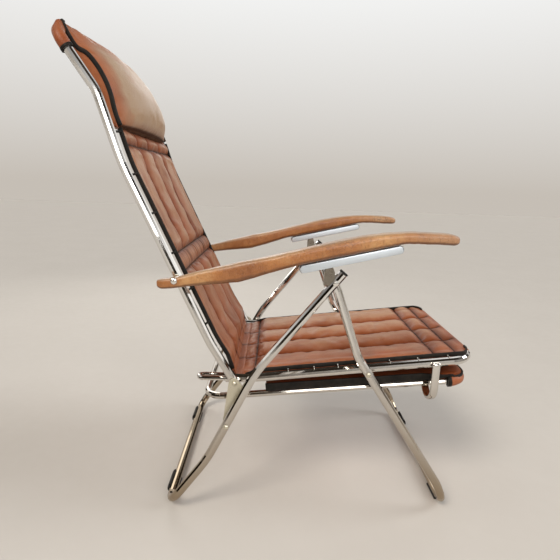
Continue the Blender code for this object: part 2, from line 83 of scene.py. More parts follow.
SEAT_RAIL = [(-0.200, 0.312, 0), (-0.150, 0.312, 0.15), (0.368, 0.373, 0)]
BACK_RAIL = [(-0.1705, 0.2995, 0), (-0.234, 0.402, 0.25), (-0.418, 0.786, 0.40),
             (-0.465, 0.928, 0.10), (-0.548, 1.048, 0)]
FOOTREST_RAIL = [(-0.249, 0.2520, 0), (0.361, 0.3127, 0)]

SIDES = (("right", -1), ("left", 1))

# ---- Cloth simulation of the padded covers ------------------------------------------------
CLOTH_FRAMES = 18
PRESSURE = 1.4
RISE_CAP = 0.0022                       # the furthest that any point may move
PAD_SLACK = 0.022
PILLOW_SLACK = 0.018


# ---- Lines and meshes ---------------------------------------------------------------------
def spot(place, y=0.0):
    """A side-view place as a point of the frame."""
    return Vector((place[0] + MIDDLE, y, place[1]))


def bend(corners):
    """Points along a bent line: each corner is (point, bend radius), and a radius of 0 stays sharp."""
    points = [corners[0][0]]
    for (before, _), (corner, radius), (after, _) in zip(corners, corners[1:], corners[2:]):
        if not radius:
            points.append(corner)
            continue
        into = (corner - before).normalized()
        out = (after - corner).normalized()
        turn = into.angle(out)
        reach = radius * math.tan(turn / 2)
        centre = corner + (out - into).normalized() * (radius / math.cos(turn / 2))
        axis = into.cross(out).normalized()
        count = max(3, math.ceil(math.degrees(turn) / 4))
        arm = corner - into * reach - centre
        points += [centre + Matrix.Rotation(turn * i / count, 3, axis) @ arm
                   for i in range(count + 1)]
    points.append(corners[-1][0])
    return points


class Line:
    """A side-view line, read by the distance along it. facing is -1 where its front is on its right."""

    def __init__(self, corners, facing=1):
        self.facing = facing
        points = bend([(Vector((x, 0.0, z)), r) for x, z, r in corners])
        self.points = np.array([(p.x, p.z) for p in points])
        runs = np.linalg.norm(np.diff(self.points, axis=0), axis=1)
        self.at = np.concatenate([[0.0], np.cumsum(runs)])
        self.length = self.at[-1]

    def point(self, s):
        """The place at s. Past either end, the line runs on straight."""
        s = np.asarray(s, float)
        inside = np.clip(s, 0, self.length)
        x = np.interp(inside, self.at, self.points[:, 0])
        z = np.interp(inside, self.at, self.points[:, 1])
        for past, a, b in ((s - self.length, -2, -1), (-s, 1, 0)):
            run = self.points[b] - self.points[a]
            run = run / np.linalg.norm(run)
            x = x + np.maximum(past, 0) * run[0]
            z = z + np.maximum(past, 0) * run[1]
        return np.stack([x, z], axis=-1)

    def across(self, s, reach=0.012):
        """The unit normal at s, on the sitter's side."""
        run = self.point(np.asarray(s) + reach) - self.point(np.asarray(s) - reach)
        run = run / np.linalg.norm(run, axis=-1, keepdims=True)
        return self.facing * np.stack([-run[..., 1], run[..., 0]], axis=-1)

    def nearest(self, place):
        """How far along the line its point nearest to a place is."""
        tries = np.linspace(0, self.length, 2000)
        return float(tries[np.argmin(np.linalg.norm(self.point(tries) - place, axis=1))])


def spaced(stops, step):
    """Values from the first stop to the last that hit each stop, and lie closer near each stop."""
    values = [stops[0]]
    for a, b in zip(stops, stops[1:]):
        count = max(3, math.ceil((b - a) / step))
        for i in range(1, count + 1):
            t = i / count
            values.append(a + (b - a) * (t - 0.55 * math.sin(2 * math.pi * t) / (2 * math.pi)))
    return np.array(values)


def to_stops(values, stops):
    """The distance from each value to the nearest stop."""
    return np.min(np.abs(np.asarray(values)[:, None] - np.asarray(stops)[None, :]), axis=1)


def swell(values, stops, exponent):
    """0 at each stop and rising to 1 midway to the next."""
    values = np.clip(np.asarray(values), stops[0], stops[-1])
    index = np.clip(np.searchsorted(stops, values, side="right") - 1, 0, len(stops) - 2)
    low, high = np.asarray(stops)[index], np.asarray(stops)[index + 1]
    t = (values - low) / (high - low)
    return np.sin(np.pi * np.clip(t, 0, 1)) ** exponent


def shoulder(distance, reach, exponent=0.6):
    """0 at a seam and 1 from reach onwards."""
    return np.sin(np.pi / 2 * np.clip(distance / reach, 0, 1)) ** exponent


def wobble(a, b, scale_a, scale_b, seed):
    """Smooth noise from -1 to 1 over a grid of two coordinates."""
    return np.array([[noise.noise(Vector((x * scale_a, y * scale_b, seed))) for y in b] for x in a])


def new_piece(name, mesh, body, mat):
    """Link a mesh as a piece that rides on a body, with the given material."""
    mesh.materials.clear()
    mesh.materials.append(mat)
    mesh.shade_smooth()
    piece = bpy.data.objects.new(name, mesh)
    bpy.context.scene.collection.objects.link(piece)
    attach(piece, body)
    return piece


def mesh_of(points, faces):
    """A mesh with all its faces turned outwards."""
    mesh = bpy.data.meshes.new("piece")
    mesh.from_pydata([tuple(p) for p in points], [], faces)
    shape = bmesh.new()
    shape.from_mesh(mesh)
    bmesh.ops.recalc_face_normals(shape, faces=shape.faces)
    shape.to_mesh(mesh)
    shape.free()
    return mesh


def slab(top, bottom):
    """A closed mesh from two grids of points, shape (rows, columns, 3)."""
    rows, columns = top.shape[:2]
    count = rows * columns

    def at(layer, i, j):
        return layer * count + i * columns + j

    faces = []
    for i in range(rows - 1):
        for j in range(columns - 1):
            faces.append((at(0, i, j), at(0, i + 1, j), at(0, i + 1, j + 1), at(0, i, j + 1)))
            faces.append((at(1, i, j), at(1, i, j + 1), at(1, i + 1, j + 1), at(1, i + 1, j)))
    for i in range(rows - 1):
        for j in (0, columns - 1):
            faces.append((at(0, i, j), at(0, i + 1, j), at(1, i + 1, j), at(1, i, j)))
    for j in range(columns - 1):
        for i in (0, rows - 1):
            faces.append((at(0, i, j), at(0, i, j + 1), at(1, i, j + 1), at(1, i, j)))
    return mesh_of(np.concatenate([top.reshape(-1, 3), bottom.reshape(-1, 3)]), faces)


def rounded_section(half_across, half_up, corner=0.6, count=12):
    """A rounded rectangle's points as (across, up)."""
    points = []
    for k in range(count):
        a = 2 * math.pi * (k + 0.5) / count
        c, s = math.cos(a), math.sin(a)
        points.append((math.copysign(abs(c) ** corner, c) * half_across,
                       math.copysign(abs(s) ** corner, s) * half_up))
    return points


def sweep(points, section, up=None, tall=None):
    """A section of (across, up) points carried along a line of points.

    up(i) gives the up direction at each point; without it, the section keeps to the side view.
    tall scales the section's height at each point.
    """
    points = [Vector(p) for p in points]
    rings = []
    for i, here in enumerate(points):
        before, after = points[max(i - 1, 0)], points[min(i + 1, len(points) - 1)]
        along = (after - before).normalized()
        rise = up(i) if up else along.cross(Vector((0, 1, 0)))
        if rise.length < 1e-6:
            rise = Vector((0, 0, 1))
        side = along.cross(rise).normalized()
        rise = side.cross(along).normalized()
        high = tall[i] if tall else 1.0
        rings.append([here + side * a + rise * b * high for a, b in section])
    n = len(section)
    faces = []
    for i in range(len(rings) - 1):
        for k in range(n):
            m = (k + 1) % n
            faces.append((i * n + k, i * n + m, (i + 1) * n + m, (i + 1) * n + k))
    faces.append(tuple(range(n)))
    faces.append(tuple((len(rings) - 1) * n + k for k in range(n)))
    return mesh_of([p for ring in rings for p in ring], faces)


def round_section(radius, count):
    """A circle's points as (across, up)."""
    return [(radius * math.cos(2 * math.pi * k / count), radius * math.sin(2 * math.pi * k / count))
            for k in range(count)]


def joined(meshes):
    """Several meshes as one."""
    shape = bmesh.new()
    for mesh in meshes:
        shape.from_mesh(mesh)
    result = bpy.data.meshes.new("joined")
    shape.to_mesh(result)
    shape.free()
    return result


def marks(piece, seam=None, valley=None, crown=None):
    """Keep what the leather's material reads at each point: stitched lines, painted shade in the valleys
    and a painted sheen, partly wear, on the crowns.
    """
    count = len(piece.data.vertices)
    for name, values in (("seam", seam), ("valley", valley), ("crown", crown)):
        mark(piece, name, np.zeros(count) if values is None else values)


def mark(piece, name, values):
    """Keep one number for each point, for the material to read."""
    attribute = piece.data.attributes.new(name, "FLOAT", "POINT")
    attribute.data.foreach_set("value", np.asarray(values, np.float32).ravel())


def refine(piece):
    """Smooth a piece by one level of subdivision."""
    modifier = piece.modifiers.new("Subdivision", "SUBSURF")
    modifier.levels = 1
    modifier.render_levels = 1


def inflate(piece, pins, slack):
    """Blow the cover up like cloth, held at its seams, and keep the result in the mesh.

    slack is how much more cloth there is than the flat shape needs.
    """
    start = np.array([v.co for v in piece.data.vertices])
    group = piece.vertex_groups.new(name="seams")
    group.add([int(i) for i in pins], 1.0, "REPLACE")
    modifier = piece.modifiers.new("Cloth", "CLOTH")
    cloth = modifier.settings
    cloth.vertex_group_mass = "seams"
    cloth.quality = 6
    cloth.mass = 0.3
    cloth.tension_stiffness = 15
    cloth.compression_stiffness = 15
    cloth.shear_stiffness = 5
    cloth.bending_stiffness = 1.5
    cloth.use_pressure = True
    cloth.uniform_pressure_force = PRESSURE
    cloth.shrink_min = -slack
    cloth.effector_weights.gravity = 0
    scene = bpy.context.scene
    modifier.point_cache.frame_start = 1
    modifier.point_cache.frame_end = CLOTH_FRAMES
    for number in range(1, CLOTH_FRAMES + 1):
        scene.frame_set(number)
    evaluated = piece.evaluated_get(bpy.context.evaluated_depsgraph_get())
    end = np.array([v.co for v in evaluated.data.vertices])
    move = end - start
    size = np.linalg.norm(move, axis=1, keepdims=True)
    move = move * np.minimum(1, RISE_CAP / np.maximum(size, 1e-9))
    piece.modifiers.remove(modifier)
    piece.vertex_groups.remove(group)
    piece.data.vertices.foreach_set("co", (start + move).ravel())
    piece.data.update()
    scene.frame_set(1)


# ---- Materials ----------------------------------------------------------------------------
class Shader:
    """A node material built step by step; set() writes plain numbers on the Principled sockets."""

    def __init__(self, name, **plain):
        self.mat = bpy.data.materials.new(name)
        self.mat.use_nodes = True
        self.nodes = self.mat.node_tree.nodes
        self.links = self.mat.node_tree.links
        self.surface = self.nodes["Principled BSDF"]
        self.place = self.nodes.new("ShaderNodeTexCoord").outputs["Object"]
        self.bump_to = None
        for socket, value in plain.items():
            self.surface.inputs[socket.replace("_", " ")].default_value = value

    def stretched(self, scale):
        node = self.nodes.new("ShaderNodeMapping")
        node.inputs["Scale"].default_value = scale
        self.links.new(self.place, node.inputs["Vector"])
        return node.outputs["Vector"]

    def noise(self, scale, detail=4.0, roughness=0.55, at=None, distortion=0.0):
        node = self.nodes.new("ShaderNodeTexNoise")
        node.inputs["Scale"].default_value = scale
        node.inputs["Detail"].default_value = detail
        node.inputs["Roughness"].default_value = roughness
        node.inputs["Distortion"].default_value = distortion
        self.links.new(at or self.place, node.inputs["Vector"])
        return node.outputs["Fac"]

    def cells(self, scale, feature="F1", at=None):
        node = self.nodes.new("ShaderNodeTexVoronoi")
        node.feature = feature
        node.inputs["Scale"].default_value = scale
        self.links.new(at or self.place, node.inputs["Vector"])
        return node.outputs["Distance"]

    def height(self):
        node = self.nodes.new("ShaderNodeSeparateXYZ")
        self.links.new(self.place, node.inputs["Vector"])
        return node.outputs["Z"]

    def attribute(self, name):
        node = self.nodes.new("ShaderNodeAttribute")
        node.attribute_name = name
        return node.outputs["Fac"]

    def ramp(self, factor, stops):
        """stops are (position, grey or colour)."""
        node = self.nodes.new("ShaderNodeValToRGB")
        elements = node.color_ramp.elements
        while len(elements) < len(stops):
            elements.new(0.5)
        for element, (position, value) in zip(elements, stops):
            element.position = position
            element.color = (value, value, value, 1) if isinstance(value, float) else (*value, 1)
        self.links.new(factor, node.inputs["Fac"])
        return node.outputs["Color"]

    def mix(self, factor, a, b):
        """From a to b by the factor; each is a socket, a colour or a number."""
        node = self.nodes.new("ShaderNodeMix")
        node.data_type = "RGBA"
        for socket, value in (("Factor", factor), ("A", a), ("B", b)):
            target = [s for s in node.inputs if s.name == socket and s.enabled][0]
            if isinstance(value, bpy.types.NodeSocket):
                self.links.new(value, target)
            elif isinstance(value, tuple):
                target.default_value = (*value, 1)
            else:
                target.default_value = value
        return [s for s in node.outputs if s.enabled][0]

    def math(self, operation, a, b):
        node = self.nodes.new("ShaderNodeMath")
        node.operation = operation
        for target, value in zip(node.inputs, (a, b)):
            if isinstance(value, bpy.types.NodeSocket):
                self.links.new(value, target)
            else:
                target.default_value = value
        return node.outputs["Value"]

    def bump(self, height, distance, strength=1.0):
        node = self.nodes.new("ShaderNodeBump")
        node.inputs["Distance"].default_value = distance
        node.inputs["Strength"].default_value = strength
        self.links.new(height, node.inputs["Height"])
        if self.bump_to:
            self.links.new(self.bump_to, node.inputs["Normal"])
        self.bump_to = node.outputs["Normal"]

    def done(self, color, roughness):
        self.links.new(color, self.surface.inputs["Base Color"])
        self.links.new(roughness, self.surface.inputs["Roughness"])
        if self.bump_to:
            self.links.new(self.bump_to, self.surface.inputs["Normal"])
        return self.mat


def leather(name, deep, middle, worn, rub=(0.9, 1.7, 0.9)):
    """Grained cowhide: dark stitched seams, painted shade in the valleys beside them, and a greyer
    painted sheen, partly wear, on its crowns.

    rub is how finely the painted sheen and wear on the crowns vary along each axis.
    """
    s = Shader(name, Metallic=0.0, Coat_Weight=0.08, Coat_Roughness=0.34,
               Sheen_Weight=0.08, Sheen_Roughness=0.40, Sheen_Tint=(0.95, 0.74, 0.56, 1.0))
    patches = s.noise(7.0, 5.0, 0.6)
    paler = tuple(0.6 * m + 0.4 * w for m, w in zip(middle, worn))
    color = s.ramp(patches, [(0.28, deep), (0.50, middle), (0.80, paler)])
    # The worn colour on the crowns is mostly a painted sheen and partly wear; streaks break it up.
    streaks = s.noise(24.0, 5.0, 0.60, s.stretched(rub), 0.2)
    crown_sheen_and_wear = s.math("MULTIPLY", s.ramp(streaks, [(0.30, 0.30), (0.70, 1.0)]), s.attribute("crown"))
    color = s.mix(s.ramp(crown_sheen_and_wear, [(0.05, 0.0), (0.62, 0.88)]), color, worn)
    spots = s.ramp(s.noise(120.0, 2.0, 0.5), [(0.62, 0.0), (0.75, 0.30)])
    color = s.mix(spots, color, deep)
    # Painted shade: darker and redder in the valleys beside the seams, with less shine there and in the
    # seams.
    valley = s.attribute("valley")
    color = s.mix(s.ramp(valley, [(0.05, 0.0), (0.95, 0.75)]), color, tuple(c * 0.80 for c in deep))
    seam = s.attribute("seam")
    color = s.mix(s.ramp(seam, [(0.10, 0.0), (0.85, 0.92)]), color, tuple(c * 0.14 for c in deep))
    low = s.math("MAXIMUM", seam, s.math("MULTIPLY", valley, 0.8))
    shine = s.ramp(low, [(0.08, 0.36), (0.85, 0.03)])
    s.links.new(shine, s.surface.inputs["Specular IOR Level"])
    rough = s.ramp(s.noise(18.0, 5.0, 0.6), [(0.30, 0.38), (0.75, 0.56)])
    s.bump(s.noise(14.0, 6.0, 0.6), 0.0030, 0.30)
    s.bump(s.noise(75.0, 5.0, 0.6, s.stretched((1.0, 1.8, 1.0)), 0.8), 0.0014, 0.45)
    s.bump(s.cells(620.0), 0.0005, 0.50)
    return s.done(color, rough)


def leatherette(name):
    """Tan leatherette with fine grain, creases across it with painted shade in them, dark cracks,
    painted shade underneath and a painted sheen.
    """
    s = Shader(name, Metallic=0.0, Coat_Weight=0.50, Coat_Roughness=0.24)
    color = s.ramp(s.noise(13.0, 6.0, 0.65), [(0.28, (0.25, 0.080, 0.018)), (0.50, (0.41, 0.155, 0.038)),
                                              (0.76, (0.60, 0.330, 0.130))])
    creases = s.noise(110.0, 5.0, 0.7, s.stretched((1.9, 0.8, 1.0)), 0.5)
    # Painted shade in the creases.
    color = s.mix(s.ramp(creases, [(0.30, 0.50), (0.46, 0.0)]), color, (0.13, 0.045, 0.012))
    # Painted shade on the underside, and a greyer painted sheen where the sheen mark is.
    color = s.mix(s.ramp(s.attribute("under"), [(0.10, 0.0), (0.95, 0.70)]), color, (0.11, 0.038, 0.011))
    color = s.mix(s.ramp(s.attribute("sheen"), [(0.10, 0.0), (0.95, 0.55)]), color, (0.46, 0.35, 0.23))
    cracks = s.cells(85.0, "DISTANCE_TO_EDGE", s.stretched((1.0, 0.7, 1.3)))
    worn = s.ramp(s.noise(9.0, 3.0, 0.5), [(0.50, 0.0), (0.66, 1.0)])
    lines = s.ramp(cracks, [(0.0, 1.0), (0.07, 0.0)])
    shade = s.math("MULTIPLY", s.math("MULTIPLY", lines, worn), 0.75)
    color = s.mix(shade, color, (0.055, 0.018, 0.006))
    color = s.mix(s.ramp(s.attribute("seam"), [(0.05, 0.0), (0.9, 0.8)]), color, (0.07, 0.022, 0.007))
    rough = s.ramp(s.noise(26.0, 4.0, 0.6), [(0.30, 0.28), (0.75, 0.48)])
    s.bump(creases, 0.0036, 0.7)
    s.bump(s.ramp(cracks, [(0.0, 0.0), (0.10, 1.0)]), 0.0006, 0.5)
    s.bump(s.cells(480.0), 0.0005, 0.5)
    return s.done(color, rough)


def metal(name, color, dirt, rough_low, rough_high, pits=0.35, painted_floor_reflection=None, ripple=True):
    """Plated or plain metal with uneven gloss and a little dirt.

    The colour it takes near the floor is a painted reflection of a brown floor, and ripple gives its
    surface fine unevenness.
    """
    s = Shader(name, Metallic=1.0)
    cloud = s.noise(16.0, 6.0, 0.65)
    if painted_floor_reflection:
        # Painted reflection of a brown floor, strongest on the lowest parts.
        color = s.mix(s.ramp(s.height(), [(0.04, 1.0), (0.36, 0.28), (0.56, 0.0)]), color, painted_floor_reflection)
    shade = s.mix(s.ramp(cloud, [(0.55, 0.0), (0.85, pits)]), color, dirt)
    specks = s.ramp(s.noise(420.0, 2.0, 0.5), [(0.66, 0.0), (0.76, pits)])
    shade = s.mix(specks, shade, tuple(c * 0.35 for c in dirt))
    grain = s.noise(90.0, 6.0, 0.7)
    rough = s.ramp(grain, [(0.30, rough_low), (0.75, rough_high)])
    if ripple:
        s.bump(grain, 0.0002, 0.10)
        s.bump(s.noise(22.0, 2.0, 0.5), 0.0010, 0.05)
    return s.done(shade, rough)


def dark_cloth(name, color, thread):
    """Black binding tape with a fine rib and scuffs."""
    s = Shader(name, Metallic=0.0, Specular_IOR_Level=0.22)
    shade = s.ramp(s.noise(55.0, 5.0, 0.6), [(0.35, color), (0.70, thread)])
    rough = s.ramp(s.noise(35.0, 3.0, 0.5), [(0.3, 0.42), (0.8, 0.70)])
    s.bump(s.noise(320.0, 3.0, 0.6), 0.0006, 0.6)
    s.bump(s.cells(900.0), 0.0004, 0.4)
    return s.done(shade, rough)


# The third colour of each leather is the greyish painted sheen on its crowns, and partly wear.
LEATHER = leather("cognac_leather", (0.175, 0.043, 0.015), (0.325, 0.084, 0.025), (0.45, 0.255, 0.148))
PILLOW_LEATHER = leather("pillow_leather", (0.250, 0.068, 0.020), (0.360, 0.110, 0.036),
                         (0.42, 0.300, 0.195), (0.5, 0.5, 0.5))
TAN = leatherette("tan_leatherette")
# The chrome's brown near the floor is a painted reflection of a brown floor.
CHROME = metal("chrome_plate", (0.82, 0.81, 0.79), (0.42, 0.35, 0.27), 0.035, 0.13,
               painted_floor_reflection=(0.36, 0.285, 0.20))
RIVET = metal("chrome_rivet", (0.84, 0.82, 0.78), (0.45, 0.38, 0.30), 0.10, 0.26)
ZINC = metal("zinc_plate", (0.66, 0.62, 0.50), (0.28, 0.24, 0.17), 0.26, 0.48, pits=0.55)
ALUMINIUM = metal("satin_aluminium", (0.68, 0.74, 0.80), (0.50, 0.52, 0.54), 0.40, 0.44,
                  pits=0.0, ripple=False)
BRACKET = metal("bracket_steel", (0.27, 0.24, 0.20), (0.12, 0.10, 0.08), 0.22, 0.40, pits=0.5)
RUBBER = dark_cloth("black_rubber", (0.010, 0.010, 0.010), (0.030, 0.028, 0.026))
BINDING = dark_cloth("black_binding", (0.006, 0.005, 0.004), (0.020, 0.015, 0.011))
WIRE = metal("hook_wire", (0.62, 0.60, 0.56), (0.30, 0.26, 0.20), 0.18, 0.35)

BY_SLOT = {"chrome_tube": CHROME, "chrome_rivet": RIVET, "zinc_plated_steel": ZINC,
           "satin_aluminium": ALUMINIUM, "cognac_leather": LEATHER, "tan_leatherette": TAN,
           "black_rubber": RUBBER}


def dress_cad():
    """Give every CAD node the material of its slot."""
    for part in frame["record"]["subparts"]:
        node = frame["nodes"][part["node"]]
        if not node.material_slots:
            node.data.materials.append(None)
        dark = part["node"].startswith("roller_bracket")
        for holder in node.material_slots:
            holder.material = BRACKET if dark else BY_SLOT[part["material_slot"]]


# ---- Seat ---------------------------------------------------------------------------------
SEAT = Line(SEAT_RAIL)
BACK = Line(BACK_RAIL, facing=-1)
FOOTREST = Line(FOOTREST_RAIL)


def fold_room(line, s, full):
    """How thick a pad may be at s: it thins towards the hinge, so that it can fold."""
    near = np.linalg.norm(line.point(s) - np.array(HINGE), axis=-1)
    return np.minimum(full, 0.0005 + FOLD_TAPER * near)


def grid(line, s, y, offset, pull=None):
    """Points at (distance along, across) with an offset from the line on the sitter's side."""
    base = line.point(s)[:, None, :] + offset[..., None] * line.across(s)[:, None, :]
    if pull is not None:
        run = line.across(s) * line.facing
        along = np.stack([run[:, 1], -run[:, 0]], axis=-1)
        base = base + pull[..., None] * along[:, None, :]
    points = np.zeros((*offset.shape, 3))
    points[..., 0] = base[..., 0] + MIDDLE
    points[..., 1] = y[None, :] if y.ndim == 1 else y
    points[..., 2] = base[..., 1]
    return points


def quilt_marks(s, y, cross, along, puff):
    """Stitched lines, painted shade in the valleys beside them and a painted sheen, partly wear, on the
    crowns between, over a quilted grid.
    """
    near = np.minimum(to_stops(s, cross)[:, None], to_stops(y, along)[None, :])
    seam = np.exp(-(near / 0.0020) ** 2)
    valley = np.exp(-(near / 0.0100) ** 1.4)
    crown = np.clip(puff, 0, 1) ** 2
    return seam, valley, crown


def both_faces(values, share=0.25):
    """The same marks for a slab's top and, fainter, for its underside."""
    return np.concatenate([values.ravel(), share * values.ravel()])


def make_seat():
    """The quilted seat cover, wrapped over the front bar, and the black tape along its edges."""
    first, last = 0.036, SEAT.length
    along = [-PAD_HALF, *SEAT_SEAMS, PAD_HALF]
    cross = [first, SEAT.nearest((-0.132, 0.312)), SEAT.nearest((0.290, 0.364)),
             SEAT.nearest((0.340, 0.370)), last]
    s = spaced(cross, 0.0060)
    y = spaced(along, 0.0060)
    room = fold_room(SEAT, s, PAD_T)[:, None]

    g_y = swell(y, along, 0.62)
    g_y = np.maximum(g_y, 0.92 * (np.abs(y) > 0.190) * shoulder(PAD_HALF - np.abs(y), 0.0025))
    g_s = shoulder(to_stops(s, cross), 0.026)
    puff = g_s[:, None] * g_y[None, :]
    lengthwise = np.sin(np.pi * (s - first) / (last - first))[:, None]
    dip = np.cos(np.pi / 2 * y / PAD_HALF)[None, :] * lengthwise
    top = room * (0.36 + 0.66 * puff) - 0.0020 * dip
    fade = np.exp(-np.minimum(to_stops(s, cross)[:, None], to_stops(y, along)[None, :]) / 0.016)
    top = top + 0.0016 * fade * g_s[:, None] * wobble(s, y, 120, 40, 1.0)
    top = top + 0.0010 * puff * wobble(s, y, 22, 30, 4.0)

    # Over the front bar the cover is one thickness of leather, close on the tube.
    to_bar = last - s
    over = np.sqrt(np.maximum((TUBE_R + 0.0026) ** 2 - to_bar ** 2, 0.0))
    top = np.maximum(top, over[:, None])
    under = np.where(to_bar < TUBE_R + 0.0006,
                     np.sqrt(np.maximum((TUBE_R + 0.0006) ** 2 - to_bar ** 2, 0.0)), -0.0055)
    bottom = np.repeat(under[:, None], len(y), axis=1)
    bottom = np.where(to_bar[:, None] > 0.02, bottom + 0.0012 * wobble(s, y, 40, 40, 9.0), bottom)

    corner = np.clip(np.abs(y) - (SEAT_RAIL_Y - CORNER_R), 0, CORNER_R * 0.98)
    inset = -(CORNER_R - np.sqrt(CORNER_R ** 2 - corner ** 2))
    ease = np.clip((s - (last - 0.075)) / 0.075, 0, 1) ** 2
    pull = ease[:, None] * inset[None, :]
    upper, lower = grid(SEAT, s, y, top, pull), grid(SEAT, s, y, bottom, pull)
    outline = upper[-1].copy()

    # Between the corners it goes round the front of the bar and a little way back under it.
    centre = SEAT.point(last)
    normal = SEAT.across(last)
    tilt = math.atan2(normal[1], normal[0])
    rows = 12
    wide = 0.04 + 0.96 * shoulder(np.clip(0.184 - np.abs(y), 0, None), 0.014, 1.0)
    wrap_top, wrap_bottom = [], []
    for i in range(1, rows + 1):
        a = tilt - math.radians(200) * i / rows * wide
        for radius, rows_of in ((TUBE_R + 0.0026, wrap_top), (TUBE_R + 0.0006, wrap_bottom)):
            x = centre[0] + radius * np.cos(a) + inset + MIDDLE
            z = centre[1] + radius * np.sin(a) + inset * SEAT_SLOPE
            rows_of.append(np.stack([x, y, z], axis=-1))
    upper = np.concatenate([upper, np.array(wrap_top)])
    lower = np.concatenate([lower, np.array(wrap_bottom)])

    piece = new_piece("seat_cover", slab(upper, lower), "seat", LEATHER)
    tail = np.zeros((rows, len(y)))
    seam, valley, crown = quilt_marks(s, y, cross[1:-1], along[1:-1], puff)
    # The painted sheen grows towards the far side and is faint on the near side.
    crown = crown * (0.30 + 0.90 * np.clip((y + PAD_HALF) / (2 * PAD_HALF), 0, 1))[None, :]
    marks(piece, *[both_faces(np.concatenate([layer, tail])) for layer in (seam, valley, crown)])
    held_rows = (to_stops(s, cross) < 0.001) | (to_bar < 0.030)
    held_rows = np.concatenate([held_rows, np.ones(rows, bool)])
    held_columns = to_stops(y, along) < 0.001
    held = held_rows[:, None] | held_columns[None, :]
    pins = np.flatnonzero(np.concatenate([held.ravel(), np.ones(held.size, bool)]))
    inflate(piece, pins, PAD_SLACK)
    refine(piece)
    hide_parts("seat_pad")

    for word, side in SIDES:
        edge = strip_path(SEAT, 0.046, last - 0.060, lambda d: fold_room(SEAT, d, PAD_T) - 0.0050,
                          side * (PAD_HALF + 0.0004))
        ahead = [Vector(p) for p in outline[::-side] if abs(p[1]) > 0.168 and p[1] * side > 0]
        ahead = [p + Vector((0.0008, side * 0.0004, 0.0002)) for p in ahead]
        tape = sweep(edge + ahead, rounded_section(0.0022, 0.0050),
                     up=lambda i: Vector((-SEAT_SLOPE, 0, 1)))
        new_piece(f"seat_binding_{word}", tape, "seat", BINDING)


# ---- Back ---------------------------------------------------------------------------------
CREASE = 0.622                           # where the pillow starts, measured up the back rail


def make_back():
    """The quilted back cover, up to where it goes under the pillow, and its edge tapes."""
    first, crease = 0.030, CREASE
    last = crease + 0.012
    along = [-PAD_HALF, -0.096, 0.0, 0.108, PAD_HALF]
    lumbar_low = BACK.nearest((-0.302, 0.553))
    lumbar_high = BACK.nearest((-0.321, 0.592))
    neck = BACK.nearest((-0.440, 0.823))
    cross = [first, lumbar_low, lumbar_high, neck, crease, last]
    s = spaced(cross, 0.0060)
    y = spaced(along, 0.0060)
    room = fold_room(BACK, s, PAD_T)[:, None]

    g_y = swell(y, along, 0.62)
    g_y = np.maximum(g_y, 0.92 * (np.abs(y) > 0.190) * shoulder(PAD_HALF - np.abs(y), 0.0025))
    g_s = shoulder(to_stops(s, cross), 0.026)
    in_band = ((s > lumbar_low) & (s < lumbar_high))[:, None]
    rib_lines = np.linspace(-PAD_HALF, PAD_HALF, RIB_LINES)
    ribs = swell(y, rib_lines, 0.5)[None, :]
    band_rise = swell(s, [lumbar_low, lumbar_high], 0.5)[:, None] * (0.50 + 0.42 * ribs)
    puff = np.where(in_band, band_rise, g_s[:, None] * g_y[None, :])
    lengthwise = np.sin(np.pi * (s - first) / (last - first))[:, None]
    dip = np.cos(np.pi / 2 * y / PAD_HALF)[None, :] * lengthwise
    front = room * (0.36 + 0.66 * puff) - 0.0030 * dip
    fade = np.exp(-np.minimum(to_stops(s, cross)[:, None], to_stops(y, along)[None, :]) / 0.016)
    front = front + 0.0016 * fade * g_s[:, None] * wobble(s, y, 110, 40, 21.0)
    front = front + 0.0010 * puff * wobble(s, y, 20, 28, 27.0)
    front = np.where((s > crease)[:, None], front * 0.5, front)
    rear = -np.minimum(0.0055, 0.001 + 0.25 * (s - first))[:, None]
    rear = rear - 0.0010 * dip + 0.0010 * wobble(s, y, 25, 25, 31.0)
    held_out = 1 - shoulder(np.clip(PAD_HALF - np.abs(y), 0, None), 0.055, 1.6)[None, :]
    rear = rear + held_out * (0.48 * room - rear)

    piece = new_piece("back_cover", slab(grid(BACK, s, y, front), grid(BACK, s, y, rear)),
                      "back", LEATHER)
    seam, valley, crown = quilt_marks(s, y, cross[1:-1], along[1:-1], puff)
    rib_seams = np.exp(-(to_stops(y, rib_lines) / 0.0022) ** 2)
    seam = np.maximum(seam, 0.7 * in_band * rib_seams[None, :])
    # The painted sheen fades down the back, so that the lower back reads as in shade.
    crown = crown * (0.25 + 0.80 * np.clip(s / crease, 0, 1))[:, None]
    marks(piece, *[both_faces(layer) for layer in (seam, valley, crown)])
    held = (to_stops(s, cross) < 0.001)[:, None] | (to_stops(y, along) < 0.001)[None, :]
    held = held | in_band | (s > crease)[:, None]
    pins = np.flatnonzero(np.concatenate([held.ravel(), np.ones(held.size, bool)]))
    inflate(piece, pins, PAD_SLACK)
    refine(piece)
    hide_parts("back_pad")

    for word, side in SIDES:
        path = strip_path(BACK, 0.034, crease - 0.002,
                          lambda d: 0.72 * fold_room(BACK, d, PAD_T) - 0.0010,
                          side * (PAD_HALF + 0.0010))
        new_piece(f"back_binding_{word}", sweep(path, rounded_section(0.0026, 0.0048)), "back",
                  BINDING)


